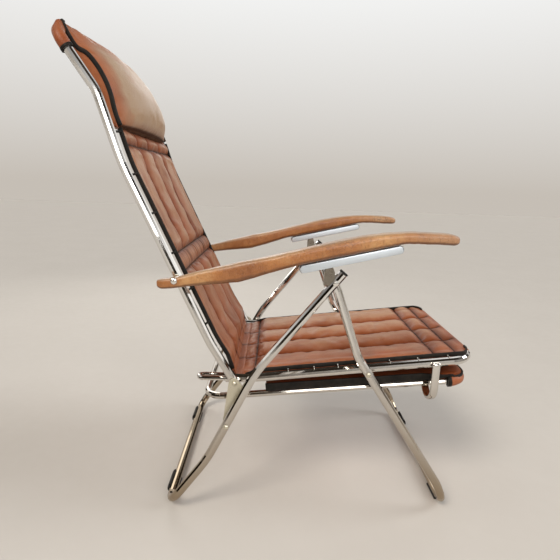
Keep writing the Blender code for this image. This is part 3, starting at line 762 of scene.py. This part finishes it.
def make_hinge_cover():
    """The flat leather that joins the seat to the back, creased where the two meet."""
    rise = 0.0036
    seat_s, back_s = np.linspace(0.040, 0.006, 9), np.linspace(0.008, 0.034, 8)
    seat_side = SEAT.point(seat_s) + SEAT.across(seat_s) * (0.0012 + rise * seat_s[:, None] / 0.040)
    back_side = BACK.point(back_s) + BACK.across(back_s) * (0.0012 + rise * back_s[:, None] / 0.034)
    path = np.concatenate([seat_side, [(seat_side[-1] + back_side[0]) / 2], back_side])
    along = [-PAD_HALF, *SEAT_SEAMS, PAD_HALF]
    y = spaced([-HINGE_COVER_HALF, *SEAT_SEAMS, HINGE_COVER_HALF], 0.006)
    run = np.gradient(path, axis=0)
    run = run / np.linalg.norm(run, axis=1, keepdims=True)
    normal = np.stack([run[:, 1], -run[:, 0]], axis=1)
    t = np.linspace(0, 1, len(path))
    puff = swell(y, along, 0.6)[None, :] * np.sin(2 * np.pi * t)[:, None] ** 2
    wave = 0.0007 * wobble(t, y, 3.0, 45.0, 71.0) - 0.0026 * puff
    layers = []
    for depth in (-0.0009, 0.0009):
        places = path[:, None, :] + (wave + depth)[..., None] * normal[:, None, :]
        points = np.zeros((len(path), len(y), 3))
        points[..., 0] = places[..., 0] + MIDDLE
        points[..., 1] = y[None, :]
        points[..., 2] = places[..., 1]
        layers.append(points)
    mesh = slab(layers[0], layers[1])
    mesh.materials.append(LEATHER)
    mesh.shade_smooth()
    piece = bpy.data.objects.new("hinge_cover", mesh)
    bpy.context.scene.collection.objects.link(piece)
    # Painted shade: a dark line along the crease and a wider darkening round it, and in the valleys
    # beside the seat's seams.
    crease = np.exp(-(np.abs(np.arange(len(path)) - len(seat_s)) / 1.1) ** 2)[:, None]
    deep = np.exp(-(np.abs(np.arange(len(path)) - len(seat_s)) / 3.0) ** 2)[:, None]
    lines = np.exp(-(to_stops(y, along) / 0.0020) ** 2)[None, :]
    seam = np.maximum(crease, 0.8 * lines)
    valley = np.maximum(deep, np.exp(-(to_stops(y, along) / 0.010) ** 1.4)[None, :])
    marks(piece, both_faces(seam, 1.0), both_faces(valley, 1.0))
    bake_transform(piece)


PILLOW_HALF = 0.2080
PILLOW_CROWN = [(-0.4190, 0.8690), (-0.4080, 0.8790), (-0.4040, 0.8960), (-0.4090, 0.9240),
                (-0.4240, 0.9580), (-0.4480, 0.9960), (-0.4780, 1.0310), (-0.5080, 1.0560),
                (-0.5370, 1.0690)]
PILLOW_EDGE = [(-0.4300, 0.8660), (-0.4370, 0.8830), (-0.4430, 0.9050), (-0.4480, 0.9280),
               (-0.4580, 0.9550), (-0.4740, 0.9830), (-0.4940, 1.0060), (-0.5180, 1.0210),
               (-0.5440, 1.0660)]


def smooth_through(points, count):
    """Evenly spaced points on a smooth curve through the points."""
    points = np.array(points, float)
    at = np.concatenate([[0], np.cumsum(np.linalg.norm(np.diff(points, axis=0), axis=1))])
    padded = np.concatenate([[2 * points[0] - points[1]], points, [2 * points[-1] - points[-2]]])
    result = []
    for s in np.linspace(0, at[-1], count):
        i = min(int(np.searchsorted(at, s, side="right")) - 1, len(points) - 2)
        t = (s - at[i]) / (at[i + 1] - at[i])
        a, b, c, d = padded[i], padded[i + 1], padded[i + 2], padded[i + 3]
        result.append(0.5 * (2 * b + (c - a) * t + (2 * a - 5 * b + 4 * c - d) * t ** 2
                             + (3 * b - a - 3 * c + d) * t ** 3))
    return np.array(result)


def make_pillow():
    """The padded head pillow and the black tape down each of its edges."""
    rows = 50
    y = spaced([-PILLOW_HALF, 0.0, PILLOW_HALF], 0.008)
    crown, edge = smooth_through(PILLOW_CROWN, rows), smooth_through(PILLOW_EDGE, rows)
    t = np.linspace(0, 1, rows)
    s = np.linspace(CREASE + 0.002, 0.772, rows)
    behind = BACK.point(s) - 0.0050 * BACK.across(s)
    over = np.clip((t - 0.90) / 0.10, 0, 1)[:, None]
    behind = behind + over * (edge - np.array([0.004, 0.004]) - behind)
    fullness = (1 - np.abs(y / PILLOW_HALF) ** 3.2)[None, :, None]
    face = edge[:, None, :] + (crown - edge)[:, None, :] * fullness
    lumps = 0.0016 * wobble(t, y, 4.0, 9.0, 40.0) + 0.0007 * wobble(t, y, 12.0, 30.0, 44.0)
    out = BACK.across(s)
    ends = np.sin(np.pi * t) ** 0.5
    pucker = 0.0018 * wobble(t, y, 3.0, 110.0, 47.0) * np.exp(-np.minimum(t, 1 - t) / 0.10)[:, None]
    face = face + (lumps * ends[:, None] + pucker * ends[:, None])[..., None] * out[:, None, :]
    reverse = np.repeat(behind[:, None, :], len(y), axis=1)
    reverse = reverse - (0.0020 * fullness * ends[:, None, None]) * out[:, None, :]

    def solid(places):
        points = np.zeros((rows, len(y), 3))
        points[..., 0] = places[..., 0] + MIDDLE
        points[..., 1] = y[None, :]
        points[..., 2] = places[..., 1]
        return points

    piece = new_piece("head_pillow_cover", slab(solid(face), solid(reverse)), "back",
                      PILLOW_LEATHER)
    # A dark line and painted shade at both ends, and a painted sheen over the face that fades to the
    # sides and upper part.
    near_end_row = np.minimum(t, 1 - t)[:, None] * np.ones(len(y))[None, :]
    crown_mark = np.clip((PILLOW_HALF - np.abs(y)) / 0.060, 0, 1)[None, :] ** 1.3
    crown_mark = crown_mark * (1 - shoulder(np.clip(t - 0.55, 0, None), 0.42, 1.4))[:, None]
    marks(piece, both_faces(np.exp(-(near_end_row / 0.012) ** 2)),
          both_faces(0.8 * np.exp(-(near_end_row / 0.05) ** 1.4)), both_faces(1.15 * crown_mark, 0.5))
    held = np.zeros((rows, len(y)), bool)
    held[[0, -1], :] = True
    held[:, [0, -1]] = True
    pins = np.flatnonzero(np.concatenate([held.ravel(), np.ones(held.size, bool)]))
    inflate(piece, pins, PILLOW_SLACK)
    refine(piece)
    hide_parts("head_pillow")

    for word, side in SIDES:
        path = [Vector((x + MIDDLE, side * (PILLOW_HALF - 0.0005), z)) for x, z in edge]
        path += [path[-1] + Vector((-0.0005, -side * 0.004 * k, 0.0008)) for k in range(1, 5)]
        strip = sweep(path, rounded_section(0.0028, 0.0048))
        new_piece(f"pillow_binding_{word}", strip, "back", BINDING)


def back_frame_top(drop):
    """The centre line of the back frame's top: up one side, across, and down the other side."""
    (x0, z0), (x1, z1) = BACK_RAIL[-2][:2], BACK_RAIL[-1][:2]
    down = Vector((x0 - x1, z0 - z1)).normalized()
    low = (x1 + down.x * drop, z1 + down.y * drop)
    corners = [(spot(low, -BACK_RAIL_Y), 0), (spot((x1, z1), -BACK_RAIL_Y), CORNER_R),
               (spot((x1, z1), BACK_RAIL_Y), CORNER_R), (spot(low, BACK_RAIL_Y), 0)]
    return bend(corners)


def make_top_pocket():
    """The leather pocket over the back frame's top bar, with a black band at each mouth."""
    path = denser(back_frame_top(0.050), 0.006)
    mesh = sleeve_round(path, TUBE_R + 0.0006, TUBE_R + 0.0026, 50.0, ridge=0.0090, count=28)
    piece = new_piece("top_bar_pocket", mesh, "back", LEATHER)
    marks(piece, valley=np.full(len(mesh.vertices), 0.15))
    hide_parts("top_bar_wrap")
    for word, end in (("right", path[:2]), ("left", path[::-1][:2])):
        a, b = end
        along = (b - a).normalized()
        band = [a - along * 0.003, a, a + along * 0.003]
        mesh = sleeve_round(band, TUBE_R + 0.0004, TUBE_R + 0.0036, 0.0)
        new_piece(f"pocket_band_{word}", mesh, "back", BINDING)


def denser(points, step):
    """The same line with a point at least every step."""
    result = [points[0]]
    for a, b in zip(points, points[1:]):
        count = max(1, math.ceil((b - a).length / step))
        result += [a.lerp(b, i / count) for i in range(1, count + 1)]
    return result


def sleeve_round(points, inner, outer, crumple, ridge=0.0, count=20):
    """A closed sleeve round a line: an outer skin with soft folds, and an inner one close on the tube.

    A ridge makes the skin stand up along its top, where two layers are sewn together.
    """
    points = [Vector(p) for p in points]
    rings = []
    rise = None
    for i, here in enumerate(points):
        before, after = points[max(i - 1, 0)], points[min(i + 1, len(points) - 1)]
        along = (after - before).normalized()
        if rise is None:
            rise = along.orthogonal().normalized()
        side = along.cross(rise).normalized()
        rise = side.cross(along).normalized()
        ring = []
        for radius, skin in ((outer, 1.0), (inner, 0.0)):
            for k in range(count):
                a = 2 * math.pi * k / count
                way = side * math.cos(a) + rise * math.sin(a)
                fold = noise.noise((here + way * radius) * crumple) if crumple else 0.0
                level = min(1.0, max(0.0, (0.232 - abs(here.y)) / 0.020))
                stand = ridge * level * max(0.0, way.z) ** 8
                ring.append(here + way * (radius + skin * (0.0009 * fold + stand)))
        rings.append(ring)
    faces = []
    n = 2 * count
    for i in range(len(rings) - 1):
        for layer in (0, count):
            for k in range(count):
                m = (k + 1) % count
                faces.append((i * n + layer + k, i * n + layer + m,
                              (i + 1) * n + layer + m, (i + 1) * n + layer + k))
    for i in (0, len(rings) - 1):
        for k in range(count):
            m = (k + 1) % count
            faces.append((i * n + k, i * n + m, i * n + count + m, i * n + count + k))
    return mesh_of([p for ring in rings for p in ring], faces)


# ---- Bindings and hooks -------------------------------------------------------------------
def strip_path(line, start, stop, offset, y, step=0.012):
    """Points along a line at one place across, lifted by offset(distance along)."""
    count = max(2, math.ceil((stop - start) / step))
    s = np.linspace(start, stop, count + 1)
    places = line.point(s) + line.across(s) * np.asarray(offset(s))[:, None]
    return [Vector((x + MIDDLE, y, z)) for x, z in places]


def hook_path(line, s, rail_y, edge_y, side, edge_offset, wrap):
    """A wire from a pad's edge to its rail and a little way round the rail."""
    centre = line.point(np.array([s]))[0]
    across = line.across(np.array([s]))[0]
    radius = TUBE_R + 0.0012
    points = []
    start = Vector((centre[0] + across[0] * edge_offset + MIDDLE, side * (edge_y - 0.0005),
                    centre[1] + across[1] * edge_offset))
    points.append(start)
    for i in range(9):
        a = math.radians(150 - wrap * i / 8)
        out, up = radius * math.cos(a), radius * math.sin(a)
        points.append(Vector((centre[0] + across[0] * up + MIDDLE, side * (rail_y + out),
                              centre[1] + across[1] * up)))
    return points


def make_hooks():
    """The small hooks that hold the covers' edges to the rails."""
    for word, side in SIDES:
        wires = []
        for x in (-0.055, 0.005, 0.060, 0.120, 0.180, 0.245, 0.315):
            s = SEAT.nearest((x, 0.312 + SEAT_SLOPE * (x + 0.15)))
            wires.append(sweep(hook_path(SEAT, s, SEAT_RAIL_Y, PAD_HALF + 0.003, side, 0.0125, 75),
                               round_section(0.0013, 8)))
        new_piece(f"seat_hooks_{word}", joined(wires), "seat", WIRE)
        loops = []
        for x, z in ((-0.250, 0.440), (-0.283, 0.520), (-0.316, 0.601), (-0.358, 0.686),
                     (-0.398, 0.766), (-0.431, 0.851)):
            s = BACK.nearest((x, z))
            centre, across = BACK.point(np.array([s]))[0], BACK.across(np.array([s]))[0]
            inner, outer = PAD_HALF + 0.001, BACK_RAIL_Y - TUBE_R + 0.0018
            knot = []
            for i in range(7):
                t = i / 6
                lift = 0.0115 - 0.0075 * t + 0.0022 * math.sin(math.pi * t)
                knot.append(Vector((centre[0] + across[0] * lift + MIDDLE,
                                    side * (inner + (outer - inner) * t), centre[1] + across[1] * lift)))
            loops.append(sweep(knot, rounded_section(0.0034, 0.0024, 0.8, 10)))
        new_piece(f"back_straps_{word}", joined(loops), "back", BINDING)


# ---- Footrest -----------------------------------------------------------------------------
def make_footrest():
    """The footrest's quilted cover, its edge tape, and the roll over its front bar."""
    slope = (FOOTREST_RAIL[1][1] - FOOTREST_RAIL[0][1]) / (FOOTREST_RAIL[1][0] - FOOTREST_RAIL[0][0])
    first = FOOTREST.nearest((-0.106, 0.2520 + slope * (-0.106 + 0.249)))
    last = FOOTREST.length + 0.0095
    half = 0.2035
    along = [-half, -0.100, 0.0, 0.100, half]
    cross = [first, FOOTREST.length - 0.055, last]
    s = spaced(cross, 0.009)
    y = spaced(along, 0.009)
    g = shoulder(to_stops(s, cross), 0.020)[:, None] * np.maximum(
        swell(y, along, 0.55), 0.5 * (np.abs(y) > 0.18) * shoulder(half - np.abs(y), 0.004))[None, :]
    top = 0.0185 + 0.0065 * g + 0.0006 * wobble(s, y, 40, 40, 61.0)
    nose = shoulder(last - s, 0.012, 0.9)[:, None]
    top = 0.0105 + (top - 0.0105) * nose
    bottom = np.full_like(top, FOOTREST_R + 0.0012) + 0.0008 * (1 - nose)
    corner = np.clip(np.abs(y) - (half - 0.040), 0, 0.040)
    inset = -(0.040 - np.sqrt(0.040 ** 2 - corner ** 2)) * 0.8
    ease = np.clip((s - (last - 0.08)) / 0.08, 0, 1) ** 2
    pull = ease[:, None] * inset[None, :]
    upper = grid(FOOTREST, s, y, top, pull)
    lower = grid(FOOTREST, s, y, bottom, pull)
    piece = new_piece("footrest_cover", slab(upper, lower), "footrest", LEATHER)
    layers = quilt_marks(s, y, cross[1:-1], along[1:-1], g)
    # Painted shade towards both sides, where the cover lies in the seat's shadow, with the painted sheen
    # taken away there.
    painted_edge_shade = 1.4 * shoulder(np.clip(np.abs(y) - 0.10, 0, None), 0.06, 1.0)[None, :]
    layers = (layers[0], np.maximum(layers[1], painted_edge_shade), layers[2] * (1 - np.clip(painted_edge_shade, 0, 1)))
    marks(piece, *[both_faces(layer) for layer in layers])
    refine(piece)
    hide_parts("footrest_pad")

    places = rim_of(len(s), len(y))
    path = [Vector(upper[i, j]).lerp(Vector(lower[i, j]), 0.5) + Vector((0, 0, 0.0022 * min(
        1.0, max(0.0, (last - s[i] - 0.050) / 0.060)))) for i, j in places]
    heights = [0.0094 - 0.0056 * min(1.0, max(0.0, (s[i] - last + 0.110) / 0.060)) for i, _ in places]
    tape = sweep(path, rounded_section(0.0024, 1.0), up=lambda i: Vector((-slope, 0, 1)), tall=heights)
    new_piece("footrest_binding", tape, "footrest", BINDING)

    x1, z1 = FOOTREST_RAIL[1][:2]
    reach, turn_r = 0.034, 0.0335
    start = (x1 - reach, z1 - slope * reach)
    corners = [(spot(start, -FOOTREST_Y), 0), (spot((x1, z1), -FOOTREST_Y), turn_r),
               (spot((x1, z1), FOOTREST_Y), turn_r), (spot(start, FOOTREST_Y), 0)]
    bar = denser(bend(corners), 0.006)
    roll = sleeve_round(bar, FOOTREST_R + 0.0008, FOOTREST_R + 0.0052, 60.0, count=24)
    piece = new_piece("footrest_front_roll", roll, "footrest", LEATHER)
    marks(piece, valley=np.full(len(roll.vertices), 0.1))
    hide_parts("footrest_front_wrap")
    for word, side in SIDES:
        mouth = spot(start, side * FOOTREST_Y)
        band = [mouth + Vector((d, 0, d * slope)) for d in (-0.003, 0.001, 0.005)]
        new_piece(f"footrest_pocket_band_{word}", sleeve_round(band, FOOTREST_R + 0.0006,
                  FOOTREST_R + 0.0062, 0.0), "footrest", BINDING)


STIRRUP_X = 0.281
STIRRUP_TOP_Z = 0.3667
STIRRUP_LOW_Z = 0.3055                  # where the straight side ends and the half circle starts
STIRRUP_R = 0.030
STIRRUP_T = 0.0095
STIRRUP_HALF = 0.0092                   # half of the strip's width
STIRRUP_Y = SEAT_RAIL_Y + TUBE_R + 0.0007
STIRRUP_SIDE_POINTS = 10


def make_stirrups():
    """The crowned strip hoops under the seat rails that the footrest's rails slide through."""
    mid_r = STIRRUP_R + STIRRUP_T / 2
    for word, side in SIDES:
        path = [spot((STIRRUP_X, STIRRUP_TOP_Z - 0.006 * k), side * (STIRRUP_Y + STIRRUP_T / 2))
                for k in range(STIRRUP_SIDE_POINTS)]
        path += [spot((STIRRUP_X, STIRRUP_LOW_Z + mid_r * math.sin(math.radians(a))),
                      side * (STIRRUP_Y - STIRRUP_R + mid_r * math.cos(math.radians(a))))
                 for a in range(0, -181, -9)]
        section = rounded_section(STIRRUP_HALF, STIRRUP_T / 2, 0.9, 24)
        mesh = sweep(path, section, up=lambda i: hoop_out(path, i, side))
        piece = new_piece(f"stirrup_{word}", mesh, "seat", CHROME)
        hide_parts(f"footrest_stirrup_{word}")


def hoop_out(path, i, side):
    """The way out of the hoop at one of its points."""
    if i < STIRRUP_SIDE_POINTS:
        return Vector((0, side, 0))
    middle = Vector((path[i].x, side * (STIRRUP_Y - STIRRUP_R), STIRRUP_LOW_Z))
    return (path[i] - middle).normalized()


def rim_of(rows, columns):
    """Grid places down one side, round the front and back up the other side."""
    left = [(i, 0) for i in range(0, rows - 1)]
    front = [(rows - 1, j) for j in range(0, columns)]
    right = [(i, columns - 1) for i in range(rows - 2, -1, -1)]
    return left + front + right


# ---- Armrests -----------------------------------------------------------------------------
# Each station is (x, top z, bottom z, half width).
ARMREST = [(-0.3430, 0.5490, 0.5350, 0.0085), (-0.3330, 0.5520, 0.5290, 0.0125),
           (-0.3045, 0.5565, 0.5320, 0.0145), (-0.2400, 0.5745, 0.5410, 0.0155),
           (-0.1720, 0.5915, 0.5495, 0.0175), (-0.1050, 0.6075, 0.5700, 0.0205),
           (-0.0600, 0.6195, 0.5850, 0.0220), (-0.0160, 0.6310, 0.5960, 0.0230),
           (0.0740, 0.6535, 0.6171, 0.0238), (0.1390, 0.6640, 0.6324, 0.0240),
           (0.1800, 0.6670, 0.6415, 0.0240), (0.2200, 0.6675, 0.6420, 0.0238),
           (0.2600, 0.6660, 0.6415, 0.0228), (0.2790, 0.6630, 0.6420, 0.0200),
           (0.2865, 0.6590, 0.6455, 0.0145)]


def make_armrests():
    """The wrinkled covers, with painted shade below and a painted sheen on top and towards the front,
    and a seam low on each side.
    """
    stations = smooth_through(ARMREST, 150)
    around = 40
    for word, side in SIDES:
        rings = []
        seam, under, sheen = [], [], []
        for x, top, bottom, half in stations:
            middle, rise = (top + bottom) / 2, (top - bottom) / 2
            ring = []
            for k in range(around):
                a = 2 * math.pi * (k + 0.5) / around
                c, s = math.cos(a), math.sin(a)
                y = math.copysign(abs(c) ** 0.62, c) * half
                z = math.copysign(abs(s) ** 0.62, s) * rise
                here = Vector((x, side * ARMREST_Y + y, middle + z))
                worn = 1.0 if s < 0 and x > 0.10 else 0.45
                fold = noise.noise(Vector((here.x * 95, here.y * 30, here.z * 50)))
                soft = noise.noise(here * 24)
                lump = 0.0008 * math.exp(-((x + 0.170) / 0.012) ** 2)
                pucker = noise.noise(Vector((here.x * 210, here.y * 60, here.z * 90)))
                grow = (0.0009 * worn * fold + 0.0011 * soft + 0.0004 * worn * pucker
                        + lump - 0.0006)
                out = Vector((0, c, s))
                ring.append(spot((here.x, here.z), here.y) + out * grow)
                seam.append(math.exp(-((z + rise * 0.62) / 0.0014) ** 2) * 0.75)
                # Marks for the material: a seam line, painted shade on the underside, and a painted
                # sheen on the top and, growing, towards the front.
                under.append(min(1.0, max(0.0, -s * 1.5 - 0.25)))
                front_sheen = min(0.55, (x - 0.10) * 4.0) * (1.0 - under[-1])
                sheen.append(min(1.0, max(0.0, s * 1.5 - 0.45, front_sheen)))
            rings.append(ring)
        faces = []
        for i in range(len(rings) - 1):
            for k in range(around):
                m = (k + 1) % around
                faces.append((i * around + k, i * around + m,
                              (i + 1) * around + m, (i + 1) * around + k))
        faces.append(tuple(range(around)))
        faces.append(tuple((len(rings) - 1) * around + k for k in range(around)))
        mesh = mesh_of([p for ring in rings for p in ring], faces)
        piece = new_piece(f"armrest_cover_{word}", mesh, f"armrest_assembly_{word}",
                          TAN)
        for name, values in (("seam", seam), ("under", under), ("sheen", sheen)):
            mark(piece, name, values)
        refine(piece)
        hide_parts(f"armrest_{word}")


# ---- Channels under the armrests ----------------------------------------------------------
CHANNEL_START = (-0.045, 0.5887)
CHANNEL_LEAN = math.atan(0.235)
CHANNEL_LENGTH = 0.222
CHANNEL_DEPTH = 0.017
CHANNEL_HALF = 0.0120
SHEET_T = 0.0015


def make_channels():
    """The drawn metal channels, open below, with rounded ends and edges."""
    top_r, low_r, edge_r, plan_r = 0.0085, 0.0070, 0.0022, 0.0040
    heights = [0.0, 0.0001, 0.0005, 0.0011, 0.0018, 0.0026, 0.0042, 0.0062, 0.0085, 0.0100, 0.0118,
               0.0136, 0.0150, 0.0161, 0.0168, 0.0170]
    along = Vector((math.cos(CHANNEL_LEAN), 0, math.sin(CHANNEL_LEAN)))
    down = Vector((math.sin(CHANNEL_LEAN), 0, -math.cos(CHANNEL_LEAN)))

    def ring_at(depth, inset, origin):
        """A rounded rectangle as seen from above, at one depth."""
        end = top_r - math.sqrt(top_r ** 2 - max(0.0, top_r - depth) ** 2)
        low = max(0.0, depth - (CHANNEL_DEPTH - low_r))
        end += low_r - math.sqrt(max(0.0, low_r ** 2 - low ** 2))
        edge = edge_r - math.sqrt(edge_r ** 2 - max(0.0, edge_r - depth) ** 2)
        u0, u1 = end + inset, CHANNEL_LENGTH - end - inset
        half = CHANNEL_HALF - edge - inset
        r = plan_r - inset
        ring = []
        for u, v, turn in ((u1 - r, half - r, 0), (u0 + r, half - r, 90), (u0 + r, r - half, 180),
                           (u1 - r, r - half, 270)):
            for k in range(6):
                a = math.radians(turn + 90 * k / 5)
                drop = depth + (SHEET_T if inset else 0.0)
                here = origin + along * (u + r * math.cos(a)) + down * drop
                ring.append(here + Vector((0, v + r * math.sin(a), 0)))
        return ring

    for word, side in SIDES:
        origin = spot(CHANNEL_START, side * ARMREST_Y)
        outer = [ring_at(d, 0.0, origin) for d in heights]
        inner = [ring_at(d, SHEET_T, origin) for d in heights if d + SHEET_T < CHANNEL_DEPTH - 0.0002]
        rings = outer + inner[::-1]
        n = len(rings[0])
        faces = [tuple(range(n)), tuple((len(rings) - 1) * n + k for k in range(n))]
        for i in range(len(rings) - 1):
            for k in range(n):
                m = (k + 1) % n
                faces.append((i * n + k, i * n + m, (i + 1) * n + m, (i + 1) * n + k))
        mesh = mesh_of([p for ring in rings for p in ring], faces)
        piece = new_piece(f"channel_{word}", mesh, f"armrest_assembly_{word}",
                          ALUMINIUM)
        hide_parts(f"armrest_channel_{word}")


# ---- Stage, light and camera --------------------------------------------------------------
FLOOR_FAR = (0.561, 0.516, 0.462)       # the lit floor's colour far off, where the backdrop meets it


def make_stage():
    """A plain pale floor."""
    shape = bmesh.new()
    bmesh.ops.create_grid(shape, x_segments=1, y_segments=1, size=14.0)
    mesh = bpy.data.meshes.new("floor")
    shape.to_mesh(mesh)
    shape.free()
    floor = bpy.data.objects.new("floor", mesh)
    floor.location.z = -0.0003
    bpy.context.scene.collection.objects.link(floor)
    s = Shader("pale_floor", Metallic=0.0)
    color = s.ramp(s.noise(3.0, 6.0, 0.6), [(0.3, (0.595, 0.563, 0.520)), (0.75, (0.620, 0.588, 0.545))])
    rough = s.ramp(s.noise(30.0, 3.0, 0.5), [(0.3, 0.55), (0.8, 0.75)])
    mesh.materials.append(s.done(color, rough))


def make_world():
    """A pale surround for the camera, and a graded one with darker parts for the chrome to mirror."""
    world = bpy.data.worlds.new("studio")
    world.use_nodes = True
    bpy.context.scene.world = world
    nodes, links = world.node_tree.nodes, world.node_tree.links
    output = nodes["World Output"]
    seen, lit = nodes["Background"], nodes.new("ShaderNodeBackground")
    seen.inputs["Strength"].default_value = 1.0
    place = nodes.new("ShaderNodeTexCoord")
    split = nodes.new("ShaderNodeSeparateXYZ")
    links.new(place.outputs["Generated"], split.inputs["Vector"])

    def ramp(factor, steps):
        node = nodes.new("ShaderNodeValToRGB")
        while len(node.color_ramp.elements) < len(steps):
            node.color_ramp.elements.new(0.5)
        for element, (position, color) in zip(node.color_ramp.elements, steps):
            element.position = position
            element.color = (*color, 1)
        links.new(factor, node.inputs["Fac"])
        return node.outputs["Color"]

    height = nodes.new("ShaderNodeMath")
    height.operation = "MULTIPLY_ADD"
    height.inputs[1].default_value = 0.5
    height.inputs[2].default_value = 0.5
    links.new(split.outputs["Z"], height.inputs[0])
    graded = ramp(height.outputs["Value"], [(0.0, (0.20, 0.15, 0.10)), (0.44, (0.10, 0.07, 0.05)),
                                            (0.50, (0.60, 0.55, 0.48)), (0.56, (0.10, 0.08, 0.06)),
                                            (0.60, (1.10, 1.07, 1.03)), (0.68, (1.0, 0.98, 0.95)),
                                            (0.76, (0.22, 0.21, 0.20)), (0.88, (1.0, 1.0, 1.0)),
                                            (1.0, (0.35, 0.34, 0.33))])
    links.new(ramp(height.outputs["Value"], [(0.498, FLOOR_FAR), (0.66, (0.88, 0.88, 0.87))]),
              seen.inputs["Color"])
    clouds = nodes.new("ShaderNodeTexNoise")
    clouds.inputs["Scale"].default_value = 1.7
    clouds.inputs["Detail"].default_value = 1.0
    links.new(place.outputs["Generated"], clouds.inputs["Vector"])
    patches = ramp(clouds.outputs["Fac"], [(0.45, (0.05, 0.04, 0.03)), (0.50, (1.0, 1.0, 1.0))])
    mixed = nodes.new("ShaderNodeVectorMath")
    mixed.operation = "MULTIPLY"
    links.new(graded, mixed.inputs[0])
    links.new(patches, mixed.inputs[1])
    links.new(mixed.outputs["Vector"], lit.inputs["Color"])
    lit.inputs["Strength"].default_value = 1.05
    path = nodes.new("ShaderNodeLightPath")
    choose = nodes.new("ShaderNodeMixShader")
    links.new(path.outputs["Is Camera Ray"], choose.inputs["Fac"])
    links.new(lit.outputs["Background"], choose.inputs[1])
    links.new(seen.outputs["Background"], choose.inputs[2])
    links.new(choose.outputs["Shader"], output.inputs["Surface"])


def area_light(name, place, target, size, power, color):
    data = bpy.data.lights.new(name, "AREA")
    data.shape = "RECTANGLE"
    data.size, data.size_y = size
    data.energy = power
    data.color = color
    lamp = bpy.data.objects.new(name, data)
    lamp.location = place
    lamp.rotation_euler = (Vector(target) - Vector(place)).to_track_quat("-Z", "Y").to_euler()
    bpy.context.scene.collection.objects.link(lamp)


def sun_light(name, source, angle, power, color):
    """Even light over the whole floor, from the direction of source."""
    data = bpy.data.lights.new(name, "SUN")
    data.angle = math.radians(angle)
    data.energy = power
    data.color = color
    lamp = bpy.data.objects.new(name, data)
    lamp.rotation_euler = (-Vector(source)).to_track_quat("-Z", "Y").to_euler()
    bpy.context.scene.collection.objects.link(lamp)


def make_lights():
    sun_light("lamp", (-0.75, -1.0, 1.35), 22, 1.55, (1.0, 0.92, 0.82))
    sun_light("window", (1.5, 0.10, 1.1), 30, 1.15, (0.96, 0.98, 1.0))
    area_light("near", (0.5, -2.0, 1.3), (0, 0, 0.5), (1.2, 0.9), 14, (1.0, 0.97, 0.93))
    area_light("rear", (-0.8, 2.2, 1.6), (0, 0, 0.5), (1.4, 1.0), 10, (1.0, 0.97, 0.93))


def make_camera():
    """The camera that matches the photo's view."""
    yaw, pitch, roll = math.radians(0.93), math.radians(-11.32), math.radians(1.92)
    forward = Vector((math.sin(yaw) * math.cos(pitch), math.cos(yaw) * math.cos(pitch), math.sin(pitch)))
    right = Vector((math.cos(yaw), -math.sin(yaw), 0))
    up = right.cross(forward)
    across = math.cos(roll) * right + math.sin(roll) * up
    upright = -math.sin(roll) * right + math.cos(roll) * up
    data = bpy.data.cameras.new("camera")
    data.lens = 30.92
    data.sensor_width = 36.0
    camera = bpy.data.objects.new("camera", data)
    turn = Matrix((across, upright, -forward)).transposed().to_4x4()
    camera.matrix_world = Matrix.Translation((-0.099 + MIDDLE, -1.272, 0.756)) @ turn
    bpy.context.scene.collection.objects.link(camera)
    bpy.context.scene.camera = camera


bpy.context.scene.view_settings.view_transform = "Standard"
make_camera()
dress_cad()
make_seat()
make_back()
make_pillow()
make_top_pocket()
make_hinge_cover()
make_hooks()
make_footrest()
make_stirrups()
make_armrests()
make_channels()
make_stage()
make_world()
make_lights()
